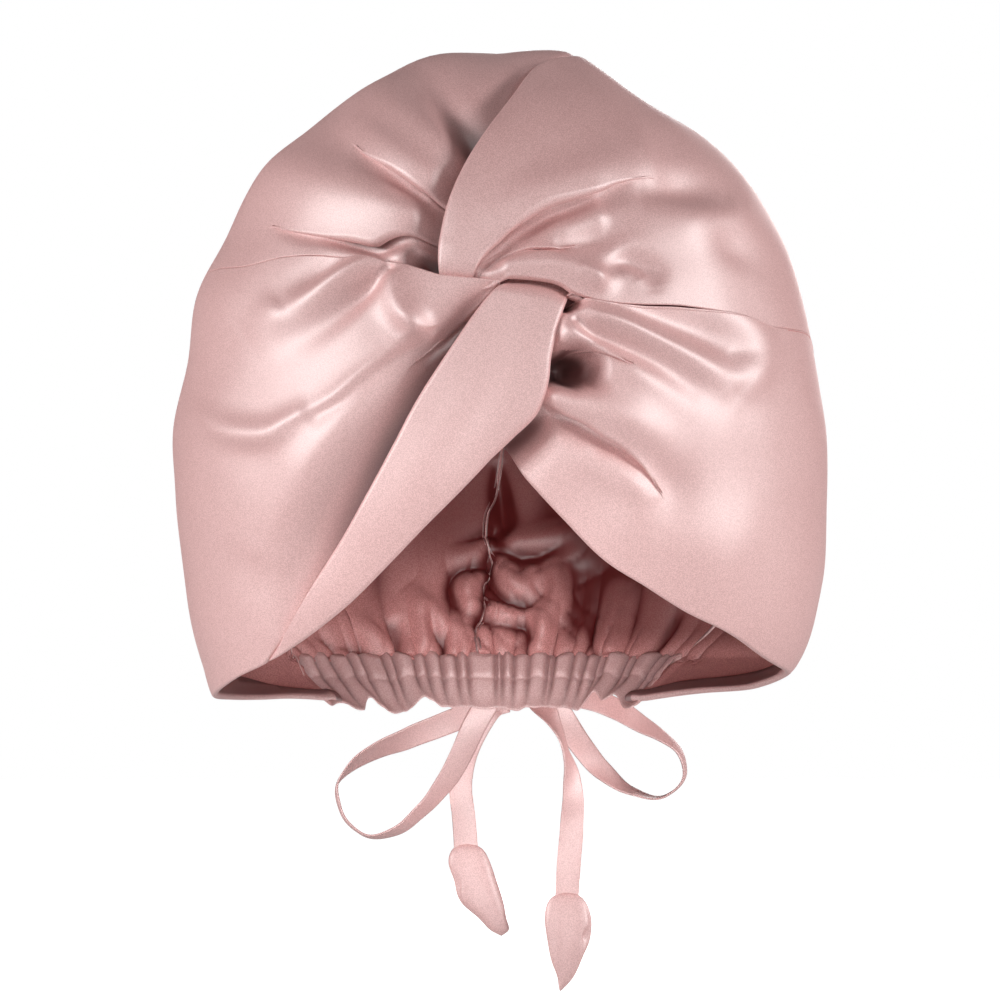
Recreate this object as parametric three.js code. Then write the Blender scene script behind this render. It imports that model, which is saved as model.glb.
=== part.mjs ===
// Satin sleep bonnet with a twisted front, a gathered nape casing and a ribbon bow.
// Millimetres, +Z up, the front faces -Y. The origin is the top of the head hollow.
// Every panel is a wall spread around HEART, so panels that share an edge curve can't cross.
import * as THREE from "three";

const WALL = 1.5; // satin with its seam allowances
const SEAM_GAP = 0.9; // between two panels along a shared edge
const HEART = new THREE.Vector3(0, 0, -142);
const EDGE_WIDTH = 7; // how far in from its edge a panel rounds down
const CASING_TOP = -252; // height of the upper stitch line
const CASING_HEM = -272;
const CASING_RIGHT_END = 131; // turn from the front, degrees
const CASING_LEFT_END = 233;
const CASING_PLEATS = 20;
const HEM_SCALLOP = 1.6; // how far the ruffle's hem rises and falls
const CASING_THICKNESS = 3; // two layers of satin round the ribbon
const RIBBON_WIDTH = 10;
const RIBBON_THICKNESS = 0.9;
const BOW_DEPTH = 86.1; // how far behind the origin the bow hangs

// Outer radius from HEART toward the four sides, by the angle down from the top.
const FORM = [
  { down: 0, left: 143.5, right: 143.5, front: 143.5, back: 143.5 },
  { down: 12, left: 146, right: 146.5, front: 142, back: 142 },
  { down: 24, left: 141, right: 139, front: 138, back: 138 },
  { down: 36, left: 137, right: 138.5, front: 132, back: 134 },
  { down: 48, left: 137, right: 138, front: 126, back: 130 },
  { down: 60, left: 132.5, right: 136, front: 121, back: 127 },
  { down: 72, left: 134, right: 133, front: 118, back: 124 },
  { down: 84, left: 132, right: 133, front: 116, back: 122 },
  { down: 96, left: 138, right: 137.5, front: 116, back: 120 },
  { down: 108, left: 143, right: 144, front: 117, back: 118 },
  { down: 120, left: 152, right: 157, front: 120, back: 118 },
  { down: 132, left: 168, right: 168, front: 126, back: 124 },
  { down: 138, left: 175, right: 166, front: 131, back: 131 },
  { down: 144, left: 168, right: 158, front: 138, back: 141 },
  { down: 156, left: 155, right: 148, front: 150, back: 156 },
];

const rad = THREE.MathUtils.degToRad;
const clamp = THREE.MathUtils.clamp;

function aim(turn, down) {
  const t = rad(turn);
  const d = rad(down);
  return new THREE.Vector3(Math.sin(d) * Math.sin(t), -Math.sin(d) * Math.cos(t), Math.cos(d));
}

// Catmull-Rom value of one column of a table at a place along its first column.
function readColumn(rows, placeName, valueName, place) {
  const last = rows.length - 1;
  let i = 0;
  while (i < last - 1 && place > rows[i + 1][placeName]) i += 1;
  const from = rows[i];
  const to = rows[i + 1];
  const before = rows[Math.max(i - 1, 0)];
  const after = rows[Math.min(i + 2, last)];
  const span = to[placeName] - from[placeName];
  const t = clamp((place - from[placeName]) / span, 0, 1);
  const slopeFrom = ((to[valueName] - before[valueName]) / (to[placeName] - before[placeName])) * span;
  const slopeTo = ((after[valueName] - from[valueName]) / (after[placeName] - from[placeName])) * span;
  const t2 = t * t;
  const t3 = t2 * t;
  return (2 * t3 - 3 * t2 + 1) * from[valueName] + (t3 - 2 * t2 + t) * slopeFrom
    + (3 * t2 - 2 * t3) * to[valueName] + (t3 - t2) * slopeTo;
}

function formRadius(direction) {
  const down = THREE.MathUtils.radToDeg(Math.acos(clamp(direction.z, -1, 1)));
  const turn = Math.atan2(direction.x, -direction.y);
  const side = Math.sin(turn);
  const ahead = Math.cos(turn);
  const sideName = side > 0 ? "right" : "left";
  const aheadName = ahead > 0 ? "front" : "back";
  return readColumn(FORM, "down", sideName, down) * side * side
    + readColumn(FORM, "down", aheadName, down) * ahead * ahead;
}

// Direction of the place on the front that is seen at x, z.
function front(x, z) {
  let radius = 130;
  let direction = aim(0, 90);
  for (let i = 0; i < 40; i += 1) {
    const down = Math.acos(clamp((z - HEART.z) / radius, -1, 1));
    const side = clamp(x / (radius * Math.sin(down)), -1, 1);
    direction = aim(THREE.MathUtils.radToDeg(Math.asin(side)), THREE.MathUtils.radToDeg(down));
    radius = (radius + formRadius(direction)) / 2;
  }
  return direction;
}

// Direction of the place at a turn from the front and a height.
function around(turn, z) {
  let radius = 130;
  let direction = aim(turn, 90);
  for (let i = 0; i < 40; i += 1) {
    const down = Math.acos(clamp((z - HEART.z) / radius, -1, 1));
    direction = aim(turn, THREE.MathUtils.radToDeg(down));
    radius = (radius + formRadius(direction)) / 2;
  }
  return direction;
}

const seenFromFront = (places) => places.map(([x, z]) => front(x, z));
const seenAround = (places) => places.map(([turn, z]) => around(turn, z));

// An edge is a function from 0..1 to a direction.
function edge(directions) {
  const spline = new THREE.CatmullRomCurve3(directions, false, "centripetal");
  spline.arcLengthDivisions = 400;
  return (t) => spline.getPointAt(clamp(t, 0, 1)).normalize();
}
const stretch = (line, from, to) => (t) => line(from + (to - from) * t);

// Edges that two panels share. Front places are [x, z], the rest [turn, z].
const LAP_SPLIT = 0.17; // where the upper left folds meet the lap's steep part
const lap = edge([
  ...seenFromFront([[-25.8, -91.5], [-25.4, -80], [-22, -65], [-15, -49], [-5, -33], [5, -18], [15.3, -4.5]]),
  aim(60, 13), aim(130, 20), aim(163, 42), aim(176, 75), aim(180, 110), around(180, CASING_TOP),
]);
const seamLeft = edge([
  ...seenFromFront([[-25.8, -91.5], [-43.5, -86.3], [-65.7, -83.8], [-89.2, -84.6], [-105, -88]]),
  ...seenAround([[-90, -94.7], [-101, -118], [-111, -160], [-120, -205], [CASING_LEFT_END - 360, CASING_TOP]]),
]);
const knotTop = edge(seenFromFront([[-25.8, -91.5], [-12, -93], [2, -93.6]]));
const bandTop = edge(seenFromFront([[2, -93.6], [14, -94.2], [24, -96], [30, -99.5]]));
const seamRight = edge([
  ...seenFromFront([[30, -99.5], [40.5, -103], [58.6, -104.3], [75.8, -104.8], [93, -107.3], [112, -113]]),
  ...seenAround([[90, -120], [100, -140], [110, -172], [121, -212], [CASING_RIGHT_END, CASING_TOP]]),
]);
const bandLeft = edge(seenFromFront([
  [2, -93.6], [-7.8, -103.9], [-19.5, -120.7], [-33.4, -142.1], [-43.9, -161.9], [-62.4, -196.3],
  [-78.3, -221.9], [-90, -243],
]));
const bandRight = edge(seenFromFront([
  [30, -99.5], [26.2, -108], [21.6, -126.2], [20.4, -137.5], [16, -150], [6, -160], [-3.6, -168.6],
]));
const openingLeft = edge(seenFromFront([
  [-3.6, -168.6], [-16.6, -182], [-30, -195.5], [-46, -212.3], [-62.4, -228.7], [-80, -243], [-97.6, -254.3],
]));
const bandEnd = edge(seenFromFront([[-90, -243], [-97.6, -254.3]]));
const hemLeft = edge([
  ...seenFromFront([[-97.6, -254.3], [-110, -260.5]]),
  ...seenAround([[-88, -268.5], [-103, -270.5], [-116, -270.5], [CASING_LEFT_END - 360, CASING_HEM]]),
]);
const openingRight = edge([
  ...seenFromFront([
    [-3.6, -168.6], [2, -167.5], [11.5, -177.8], [25.4, -193], [43.5, -211], [60.7, -221.9], [75.8, -231.6],
    [93, -240], [106.5, -249.2],
  ]),
  ...seenAround([[90, -260], [102, -266], [117, -268.5], [CASING_RIGHT_END, CASING_HEM]]),
]);
const level = (from, to, z) => edge(seenAround([0, 1, 2, 3].map((i) => [from + ((to - from) * i) / 3, z])));
const casingTopRight = level(180, CASING_RIGHT_END, CASING_TOP);
const casingTopLeft = level(180, CASING_LEFT_END, CASING_TOP);
const casingHem = (t) => {
  const scallop = HEM_SCALLOP * Math.sin(Math.PI * t) * Math.cos(t * CASING_PLEATS * Math.PI);
  return around(CASING_RIGHT_END + (CASING_LEFT_END - CASING_RIGHT_END) * t, CASING_HEM - scallop);
};

// Joins edges that follow one another into one. share is each one's length in mm.
function joined(parts) {
  const total = parts.reduce((sum, part) => sum + part.share, 0);
  return (t) => {
    let place = clamp(t, 0, 1) * total;
    for (const part of parts.slice(0, -1)) {
      if (place <= part.share) return part.line(place / part.share);
      place -= part.share;
    }
    const last = parts[parts.length - 1];
    return last.line(place / last.share);
  };
}

// Folds seen from the front: a ridge (+) or a valley (-) that runs along a path of [x, z].
const CROWN_LEFT_FOLDS = [
  { rise: 3.5, spread: 11, path: [[-40, -15], [-28, -35], [-17, -46]] },
  { rise: -3, spread: 7, path: [[-60, -38], [-46, -49], [-33, -56.5], [-22, -61]] },
  { rise: 4, spread: 12, path: [[-85, -55], [-60, -65], [-35, -69]] },
  { rise: -3.5, spread: 7, path: [[-110, -69], [-88, -73.5], [-62, -77.5], [-42, -75], [-27, -75]] },
];
const CROWN_RIGHT_FOLDS = [
  { rise: 7, spread: 24, path: [[-12, -80], [0, -55], [18, -33], [40, -20]] },
  { rise: -5, spread: 7, path: [[-10, -93], [-5, -84], [8, -72.5], [30, -62], [58, -53], [84, -51]] },
  { rise: 4, spread: 9, path: [[5, -88], [22, -76], [50, -69], [80, -68]] },
  { rise: -3, spread: 8, path: [[40, -84], [56, -77], [74, -76]] },
];
const WRAP_LEFT_FOLDS = [
  { rise: 4, spread: 9, path: [[-30, -102], [-54, -96], [-78, -104], [-104, -115]] },
  { rise: -4, spread: 8, path: [[-14, -104], [-36, -119], [-60, -138], [-86, -152]] },
  { rise: 3, spread: 11, path: [[-40, -140], [-62, -160], [-95, -168]] },
];
const TWIST_BAND_FOLDS = [
  { rise: 5, spread: 14, path: [[12, -102], [4, -125], [-14, -155], [-40, -190], [-66, -220]] },
];
const WRAP_RIGHT_FOLDS = [
  { rise: 4, spread: 8, path: [[36, -111], [60, -118], [88, -131], [104, -140]] },
  { rise: -5, spread: 8, path: [[27, -131], [40, -134], [60, -146]] },
  { rise: 4, spread: 9, path: [[18, -146], [35, -153], [56, -168], [70, -186]] },
];

// How near a place is to a path, and how far along the path that is, 0..1.
function nearestOnPath(x, z, path) {
  const spans = path.slice(1).map(([toX, toZ], i) => {
    const [fromX, fromZ] = path[i];
    return { fromX, fromZ, stepX: toX - fromX, stepZ: toZ - fromZ, length: Math.hypot(toX - fromX, toZ - fromZ) };
  });
  const total = spans.reduce((sum, span) => sum + span.length, 0);
  let passed = 0;
  let best = { distance: Infinity, along: 0 };
  for (const span of spans) {
    const offset = (x - span.fromX) * span.stepX + (z - span.fromZ) * span.stepZ;
    const t = clamp(offset / (span.length * span.length), 0, 1);
    const distance = Math.hypot(x - span.fromX - t * span.stepX, z - span.fromZ - t * span.stepZ);
    if (distance < best.distance) best = { distance, along: (passed + t * span.length) / total };
    passed += span.length;
  }
  return best;
}

function foldRelief(point, folds) {
  if (point.y > 0) return 0;
  return folds.reduce((sum, fold) => {
    const { distance, along } = nearestOnPath(point.x, point.z, fold.path);
    const ends = Math.min(1, 6 * Math.min(along + 0.08, 1.08 - along));
    return sum + fold.rise * ends * Math.exp(-((distance / fold.spread) ** 2));
  }, 0);
}

// Gathers of the crown that run up from the nape casing and die out.
function napeGathers(direction, point) {
  if (point.y < 0) return 0;
  const turn = Math.atan2(direction.x, -direction.y);
  const reach = clamp((point.z - CASING_TOP) / 70, 0, 1);
  return 2 * (1 - reach) * Math.min(1, point.y / 40) * Math.cos(turn * 22);
}

function closedMesh(name, colour, positions, triangles) {
  const geometry = new THREE.BufferGeometry();
  geometry.setAttribute("position", new THREE.Float32BufferAttribute(positions, 3));
  geometry.setIndex(triangles);
  geometry.computeVertexNormals();
  const material = new THREE.MeshStandardMaterial({ color: colour, roughness: 0.35, metalness: 0 });
  const mesh = new THREE.Mesh(geometry, material);
  mesh.name = name;
  return mesh;
}

// Two quads' worth of triangles for every cell of a closed wall: outside, inside and the rim between.
function wallTriangles(columns, rows, outsideFirst) {
  const across = rows + 1;
  const inside = (columns + 1) * across;
  const id = (i, j) => i * across + j;
  const triangles = [];
  const quad = (a, b, c, d) => {
    if (outsideFirst) triangles.push(a, b, c, a, c, d);
    else triangles.push(a, c, b, a, d, c);
  };
  for (let i = 0; i < columns; i += 1) {
    for (let j = 0; j < rows; j += 1) {
      quad(id(i, j), id(i + 1, j), id(i + 1, j + 1), id(i, j + 1));
      quad(inside + id(i, j), inside + id(i, j + 1), inside + id(i + 1, j + 1), inside + id(i + 1, j));
    }
    quad(id(i, 0), inside + id(i, 0), inside + id(i + 1, 0), id(i + 1, 0));
    quad(id(i, rows), id(i + 1, rows), inside + id(i + 1, rows), inside + id(i, rows));
  }
  for (let j = 0; j < rows; j += 1) {
    quad(id(0, j), id(0, j + 1), inside + id(0, j + 1), inside + id(0, j));
    quad(id(columns, j), inside + id(columns, j), inside + id(columns, j + 1), id(columns, j + 1));
  }
  return triangles;
}

// A panel of cloth between four edges. near and far run the long way, start and end across.
// Its outside is the form plus relief, and it rounds down by edgeDrop along near and far.
function panel({ name, colour, near, far, start, end, columns, rows, relief, edgeDrop, wall = WALL }) {
  const corners = [[near(0), near(1)], [far(0), far(1)]];
  const outside = [];
  for (let i = 0; i <= columns; i += 1) {
    const u = i / columns;
    const column = [];
    const [nearPoint, farPoint] = [near(u), far(u)];
    const crossing = nearPoint.angleTo(farPoint) * 130;
    for (let j = 0; j <= rows; j += 1) {
      const even = j / rows;
      const v = even - Math.sin(2 * Math.PI * even) * 0.09; // closer rows beside the rounded edges
      const direction = new THREE.Vector3()
        .addScaledVector(nearPoint, 1 - v).addScaledVector(farPoint, v)
        .addScaledVector(start(v), 1 - u).addScaledVector(end(v), u)
        .addScaledVector(corners[0][0], -(1 - u) * (1 - v)).addScaledVector(corners[0][1], -u * (1 - v))
        .addScaledVector(corners[1][0], -(1 - u) * v).addScaledVector(corners[1][1], -u * v)
        .normalize();
      const base = HEART.clone().addScaledVector(direction, formRadius(direction));
      const inward = Math.min(v, 1 - v) * crossing;
      const rounding = 1 - Math.sqrt(Math.max(0, 1 - (1 - Math.min(inward / EDGE_WIDTH, 1)) ** 2));
      const lift = relief(direction, base, u, v) * (1 - rounding) - edgeDrop * rounding;
      column.push(base.addScaledVector(direction, lift));
    }
    outside.push(column);
  }
  // Half the seam gap is taken off along all four edges, straight across each edge.
  const pull = (point, inner, before, after) => {
    const rim = after.clone().sub(before).normalize();
    const way = inner.clone().sub(point);
    const reach = way.length();
    way.addScaledVector(rim, -way.dot(rim)).normalize();
    return way.multiplyScalar(Math.min(SEAM_GAP / 2, reach * 0.2));
  };
  const trimmed = outside.map((column) => column.map((point) => point.clone()));
  for (let i = 0; i <= columns; i += 1) {
    const [before, after] = [outside[Math.max(i - 1, 0)], outside[Math.min(i + 1, columns)]];
    const inner = outside[clamp(i, 2, columns - 2)];
    trimmed[i][0].add(pull(outside[i][0], inner[2], before[0], after[0]));
    trimmed[i][rows].add(pull(outside[i][rows], inner[rows - 2], before[rows], after[rows]));
  }
  for (let j = 0; j <= rows; j += 1) {
    const [before, after] = [Math.max(j - 1, 0), Math.min(j + 1, rows)];
    for (const [i, inner] of [[0, 2], [columns, columns - 2]]) {
      const target = outside[inner][clamp(j, 2, rows - 2)];
      trimmed[i][j].add(pull(outside[i][j], target, outside[i][before], outside[i][after]));
    }
  }
  const positions = trimmed.flat().flatMap((point) => point.toArray());
  for (let i = 0; i <= columns; i += 1) {
    for (let j = 0; j <= rows; j += 1) {
      const point = trimmed[i][j];
      const outward = point.clone().sub(HEART).normalize();
      const onRim = i === 0 || j === 0 || i === columns || j === rows;
      if (!onRim) {
        const along = outside[i + 1][j].clone().sub(outside[i - 1][j]);
        const across = outside[i][j + 1].clone().sub(outside[i][j - 1]);
        const normal = along.cross(across).normalize();
        if (normal.dot(outward) < 0) normal.negate();
        outward.copy(normal);
      }
      positions.push(...point.clone().addScaledVector(outward, -wall).toArray());
    }
  }
  const firstCell = outside[1][0].clone().sub(outside[0][0]).cross(outside[0][1].clone().sub(outside[0][0]));
  const outsideFirst = firstCell.dot(outside[0][0].clone().sub(HEART)) > 0;
  return closedMesh(name, colour, positions, wallTriangles(columns, rows, outsideFirst));
}

const ROSE = 0xc8a2a2;
const reversed = (line) => (t) => line(1 - t);
const bonnet = new THREE.Group();

bonnet.add(panel({
  name: "crown_left", colour: ROSE, columns: 38, rows: 15, edgeDrop: 1.5,
  near: stretch(lap, LAP_SPLIT, 1), far: seamLeft,
  start: reversed(stretch(lap, 0, LAP_SPLIT)), end: casingTopLeft,
  relief: (direction, point) => foldRelief(point, CROWN_LEFT_FOLDS) + napeGathers(direction, point),
}));

bonnet.add(panel({
  name: "crown_right", colour: ROSE, columns: 44, rows: 15, edgeDrop: 0,
  near: lap, far: seamRight,
  start: joined([{ line: knotTop, share: 28 }, { line: bandTop, share: 29 }]), end: casingTopRight,
  relief: (direction, point) => foldRelief(point, CROWN_RIGHT_FOLDS) + napeGathers(direction, point),
}));

bonnet.add(panel({
  name: "front_wrap_left", colour: ROSE, columns: 36, rows: 9, edgeDrop: 1.5,
  near: joined([{ line: stretch(reversed(knotTop), 0.12, 1), share: 25 }, { line: seamLeft, share: 340 }]),
  far: joined([{ line: stretch(bandLeft, 0.02, 1), share: 175 }, { line: bandEnd, share: 14 }, { line: hemLeft, share: 176 }]),
  start: edge([knotTop(0.88), bandLeft(0.02)]),
  end: edge(seenAround([[CASING_LEFT_END - 360, CASING_TOP], [CASING_LEFT_END - 360, CASING_HEM]])),
  relief: (direction, point) => foldRelief(point, WRAP_LEFT_FOLDS),
}));

bonnet.add(panel({
  name: "twist_band", colour: ROSE, columns: 26, rows: 6, edgeDrop: 1.5,
  near: bandLeft,
  far: joined([{ line: bandRight, share: 80 }, { line: openingLeft, share: 130 }]),
  start: bandTop, end: bandEnd,
  relief: (direction, point) => foldRelief(point, TWIST_BAND_FOLDS),
}));

bonnet.add(panel({
  name: "front_wrap_right", colour: ROSE, columns: 34, rows: 10, edgeDrop: 1.5,
  near: seamRight, far: openingRight, start: bandRight,
  end: edge(seenAround([[CASING_RIGHT_END, CASING_TOP], [CASING_RIGHT_END, CASING_HEM]])),
  relief: (direction, point) => foldRelief(point, WRAP_RIGHT_FOLDS),
}));

bonnet.add(panel({
  name: "nape_casing", colour: ROSE, columns: CASING_PLEATS * 3, rows: 6, edgeDrop: 0,
  near: joined([{ line: reversed(casingTopRight), share: 49 }, { line: casingTopLeft, share: 53 }]),
  far: casingHem, wall: CASING_THICKNESS,
  start: edge(seenAround([[CASING_RIGHT_END, CASING_TOP], [CASING_RIGHT_END, CASING_HEM]])),
  end: edge(seenAround([[CASING_LEFT_END, CASING_TOP], [CASING_LEFT_END, CASING_HEM]])),
  relief: (direction, point, u, v) => 1.2 * Math.cos(u * CASING_PLEATS * 2 * Math.PI) * (0.4 + v) + 2 * v * v,
}));

// The ribbon's routes behind the casing. turned is how far the ribbon's face is turned from the
// front, in degrees: at 0 its full width shows and at 90 only its edge.
const LOOP_LEFT = [
  { x: 0.6, y: 0, z: -268.7, turned: 0 },
  { x: -12, y: 2, z: -276, turned: 5 },
  { x: -38, y: 5, z: -286.5, turned: 25 },
  { x: -58.5, y: 6, z: -295.5, turned: 60 },
  { x: -69, y: 4, z: -306, turned: 90 },
  { x: -67, y: 1, z: -319.5, turned: 95 },
  { x: -57, y: -2, z: -328.5, turned: 98 },
  { x: -45, y: -3, z: -327, turned: 108 },
  { x: -30.5, y: -3, z: -315, turned: 128 },
  { x: -19.5, y: -2, z: -300, turned: 152 },
  { x: -10.5, y: -2, z: -281, turned: 176 },
  { x: -5, y: -2, z: -271.5, turned: 180 },
];
const LOOP_RIGHT = [
  { x: 19.8, y: 1, z: -264.8, turned: 0 },
  { x: 27.5, y: 2, z: -279, turned: 5 },
  { x: 42.5, y: 3, z: -299.5, turned: 35 },
  { x: 57, y: 3, z: -310, turned: 72 },
  { x: 70, y: 1, z: -312, turned: 90 },
  { x: 79, y: -1, z: -303, turned: 94 },
  { x: 76, y: -3, z: -291.5, turned: 105 },
  { x: 61, y: -4, z: -281, turned: 132 },
  { x: 44.5, y: -3, z: -272, turned: 155 },
  { x: 22.5, y: -2, z: -266.5, turned: 180 },
];
const TAIL_LEFT = [
  { x: 2.6, y: 3, z: -273.6, turned: 0 },
  { x: -4, y: 5, z: -278.5, turned: 0 },
  { x: -9, y: 5, z: -284, turned: 0 },
  { x: -15, y: 5, z: -295, turned: 0 },
  { x: -16.6, y: 5, z: -307, turned: 0 },
  { x: -15.2, y: 5, z: -321, turned: 5 },
  { x: -14.3, y: 5, z: -333, turned: 5 },
];
const TAIL_RIGHT = [
  { x: 14, y: -1.5, z: -273.6, turned: 20 },
  { x: 22, y: -7, z: -281.5, turned: 60 },
  { x: 27, y: -7, z: -292.5, turned: 75 },
  { x: 31, y: -6, z: -307, turned: 40 },
  { x: 30.8, y: -5, z: -324, turned: 5 },
  { x: 29.5, y: -5, z: -340, turned: 0 },
  { x: 28.6, y: -5, z: -353.5, turned: 0 },
];

// A strip of ribbon along a route, closed at both ends.
function ribbon(name, route, steps) {
  const line = new THREE.CatmullRomCurve3(route.map(({ x, y, z }) => new THREE.Vector3(x, BOW_DEPTH + y, z)), false, "centripetal");
  line.arcLengthDivisions = 400;
  const lengths = line.getLengths(400);
  const rowsByLength = route.map((row, i) => ({
    place: lengths[Math.round((400 * i) / (route.length - 1))] / lengths[400], turned: row.turned,
  }));
  const positions = [];
  for (let i = 0; i <= steps; i += 1) {
    const t = i / steps;
    const tangent = line.getTangentAt(t);
    const turned = rad(readColumn(rowsByLength, "place", "turned", t));
    const sideways = tangent.clone().cross(new THREE.Vector3(0, 1, 0)).normalize();
    const width = sideways.multiplyScalar(Math.cos(turned)).add(new THREE.Vector3(0, Math.sin(turned), 0));
    width.addScaledVector(tangent, -width.dot(tangent)).normalize();
    const face = tangent.clone().cross(width);
    for (const [w, f] of [[-1, -1], [1, -1], [1, 1], [-1, 1]]) {
      const point = line.getPointAt(t).addScaledVector(width, (w * RIBBON_WIDTH) / 2)
        .addScaledVector(face, (f * RIBBON_THICKNESS) / 2);
      positions.push(...point.toArray());
    }
  }
  const triangles = [0, 2, 1, 0, 3, 2];
  for (let i = 0; i < steps; i += 1) {
    for (let k = 0; k < 4; k += 1) {
      const [a, b] = [i * 4 + k, i * 4 + ((k + 1) % 4)];
      triangles.push(a, b, b + 4, a, b + 4, a + 4);
    }
  }
  const end = steps * 4;
  triangles.push(end, end + 1, end + 2, end, end + 2, end + 3);
  return closedMesh(name, ROSE, positions, triangles);
}

// A closed body through oval sections, one a row, from the top down.
function pod(name, sections, sides, depthCentre) {
  const positions = sections.flatMap(({ x, z, wide, deep }) => Array.from({ length: sides }, (_, k) => {
    const angle = (2 * Math.PI * k) / sides;
    return [x + (Math.cos(angle) * wide) / 2, depthCentre + (Math.sin(angle) * deep) / 2, z];
  }).flat());
  const triangles = [];
  const last = (sections.length - 1) * sides;
  for (let k = 1; k < sides - 1; k += 1) {
    triangles.push(0, k, k + 1, last, last + k + 1, last + k);
  }
  for (let i = 0; i < sections.length - 1; i += 1) {
    for (let k = 0; k < sides; k += 1) {
      const [a, b] = [i * sides + k, i * sides + ((k + 1) % sides)];
      triangles.push(a, a + sides, b, b, a + sides, b + sides);
    }
  }
  return closedMesh(name, ROSE, positions, triangles);
}

const KNOT = [
  { x: 9.5, z: -260, wide: 9, deep: 5 },
  { x: 9.5, z: -262.5, wide: 13.5, deep: 8.6 },
  { x: 9, z: -269, wide: 13.5, deep: 8.6 },
  { x: 8, z: -272.5, wide: 10, deep: 6 },
];
const TIP_LEFT = [
  { x: -13.5, z: -333.8, wide: 12, deep: 2.5 },
  { x: -13, z: -339.5, wide: 17.7, deep: 6 },
  { x: -10.5, z: -347.5, wide: 18.3, deep: 8 },
  { x: -8, z: -356.5, wide: 19, deep: 8 },
  { x: -3, z: -364, wide: 12, deep: 6 },
  { x: 0, z: -369, wide: 8.5, deep: 4 },
  { x: 0.8, z: -371.3, wide: 2, deep: 1.5 },
];
const TIP_RIGHT = [
  { x: 28.6, z: -354.2, wide: 12, deep: 2.5 },
  { x: 28.8, z: -358.5, wide: 18, deep: 6 },
  { x: 29.3, z: -365, wide: 20, deep: 8 },
  { x: 29.5, z: -373, wide: 18.3, deep: 8 },
  { x: 28.5, z: -381.5, wide: 13, deep: 6 },
  { x: 28, z: -388.5, wide: 7, deep: 4 },
  { x: 25.8, z: -394.5, wide: 1.5, deep: 1.5 },
];

bonnet.add(pod("bow_knot", KNOT, 10, BOW_DEPTH - 1));
bonnet.add(pod("tie_tip_left", TIP_LEFT, 10, BOW_DEPTH + 5));
bonnet.add(pod("tie_tip_right", TIP_RIGHT, 10, BOW_DEPTH - 5));
bonnet.add(ribbon("bow_loop_left", LOOP_LEFT, 30));
bonnet.add(ribbon("bow_loop_right", LOOP_RIGHT, 24));
bonnet.add(ribbon("tie_tail_left", TAIL_LEFT, 11));
bonnet.add(ribbon("tie_tail_right", TAIL_RIGHT, 14));

export default bonnet;
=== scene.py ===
"""Satin sleep bonnet: twisted front, gathered nape casing, ribbon bow with two tulip tips."""
import math

import bmesh
import bpy
import numpy as np
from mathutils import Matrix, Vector


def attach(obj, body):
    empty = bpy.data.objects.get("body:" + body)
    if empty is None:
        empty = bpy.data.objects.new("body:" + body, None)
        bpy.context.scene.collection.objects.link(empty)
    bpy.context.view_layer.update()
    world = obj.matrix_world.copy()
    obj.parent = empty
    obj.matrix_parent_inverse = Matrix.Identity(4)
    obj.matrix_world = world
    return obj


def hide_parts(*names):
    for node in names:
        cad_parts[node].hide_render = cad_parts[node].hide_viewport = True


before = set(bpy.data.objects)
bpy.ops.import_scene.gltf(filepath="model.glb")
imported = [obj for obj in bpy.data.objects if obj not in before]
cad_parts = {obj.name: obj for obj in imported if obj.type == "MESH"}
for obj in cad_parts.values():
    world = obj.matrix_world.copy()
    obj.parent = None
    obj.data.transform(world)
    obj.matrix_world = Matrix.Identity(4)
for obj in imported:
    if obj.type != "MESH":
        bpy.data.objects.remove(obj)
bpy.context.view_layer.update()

# Shapes are worked out in millimetres, as the pattern is, and scaled when a mesh is filled.
# A direction points outward from HEART, in the middle of the head hollow. A turn is in degrees,
# from the front to the right.
MM = 0.001
HEART = np.array((0.0, 0.0, -142.0))
MEAN_RADIUS = 130.0
BACKWARD = np.array((0.0, 1.0, 0.0))
CLOTH = 1.1
CASING_CLOTH = 0.5
CASING_TOP = -252.0
CASING_HEM = -272.0
CASING_RIGHT_END = 131.0
CASING_LEFT_END = 233.0
BACK_SEAM = 186.0
BOW_DEPTH = 86.1
RIBBON_WIDTH = 10.0
RIBBON_THICKNESS = 0.72
CURVE_STEPS = 1200
SETTLING_STEPS = 60

# Camera: level, six metres ahead, so that 0.42 mm of the bonnet's middle fills a pixel.
camera_data = bpy.data.cameras.new("front_camera")
camera_data.sensor_width = 36.0
camera_data.lens = 514.3
camera_data.clip_end = 100.0
camera = bpy.data.objects.new("front_camera", camera_data)
camera.location = (0.0002, -6.0, -0.1854)
camera.rotation_euler = (math.radians(90.0), 0.0, 0.0)
bpy.context.scene.collection.objects.link(camera)
bpy.context.scene.camera = camera


def unit(vectors):
    return vectors / np.maximum(np.linalg.norm(vectors, axis=-1, keepdims=True), 1e-12)


def smoothstep(low, high, value):
    t = np.clip((value - low) / (high - low), 0.0, 1.0)
    return t * t * (3.0 - 2.0 * t)


def read_column(places, values, at):
    """Catmull-Rom value of a table's column, held level outside the table."""
    places = np.asarray(places, float)
    values = np.asarray(values, float)
    last = len(places) - 1
    i = np.clip(np.searchsorted(places, at, side="left") - 1, 0, last - 1)
    before = np.maximum(i - 1, 0)
    after = np.minimum(i + 2, last)
    span = places[i + 1] - places[i]
    t = np.clip((at - places[i]) / span, 0.0, 1.0)
    slope_from = (values[i + 1] - values[before]) / (places[i + 1] - places[before]) * span
    slope_to = (values[after] - values[i]) / (places[after] - places[i]) * span
    return (
        (2 * t**3 - 3 * t**2 + 1) * values[i]
        + (t**3 - 2 * t**2 + t) * slope_from
        + (3 * t**2 - 2 * t**3) * values[i + 1]
        + (t**3 - t**2) * slope_to
    )


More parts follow.
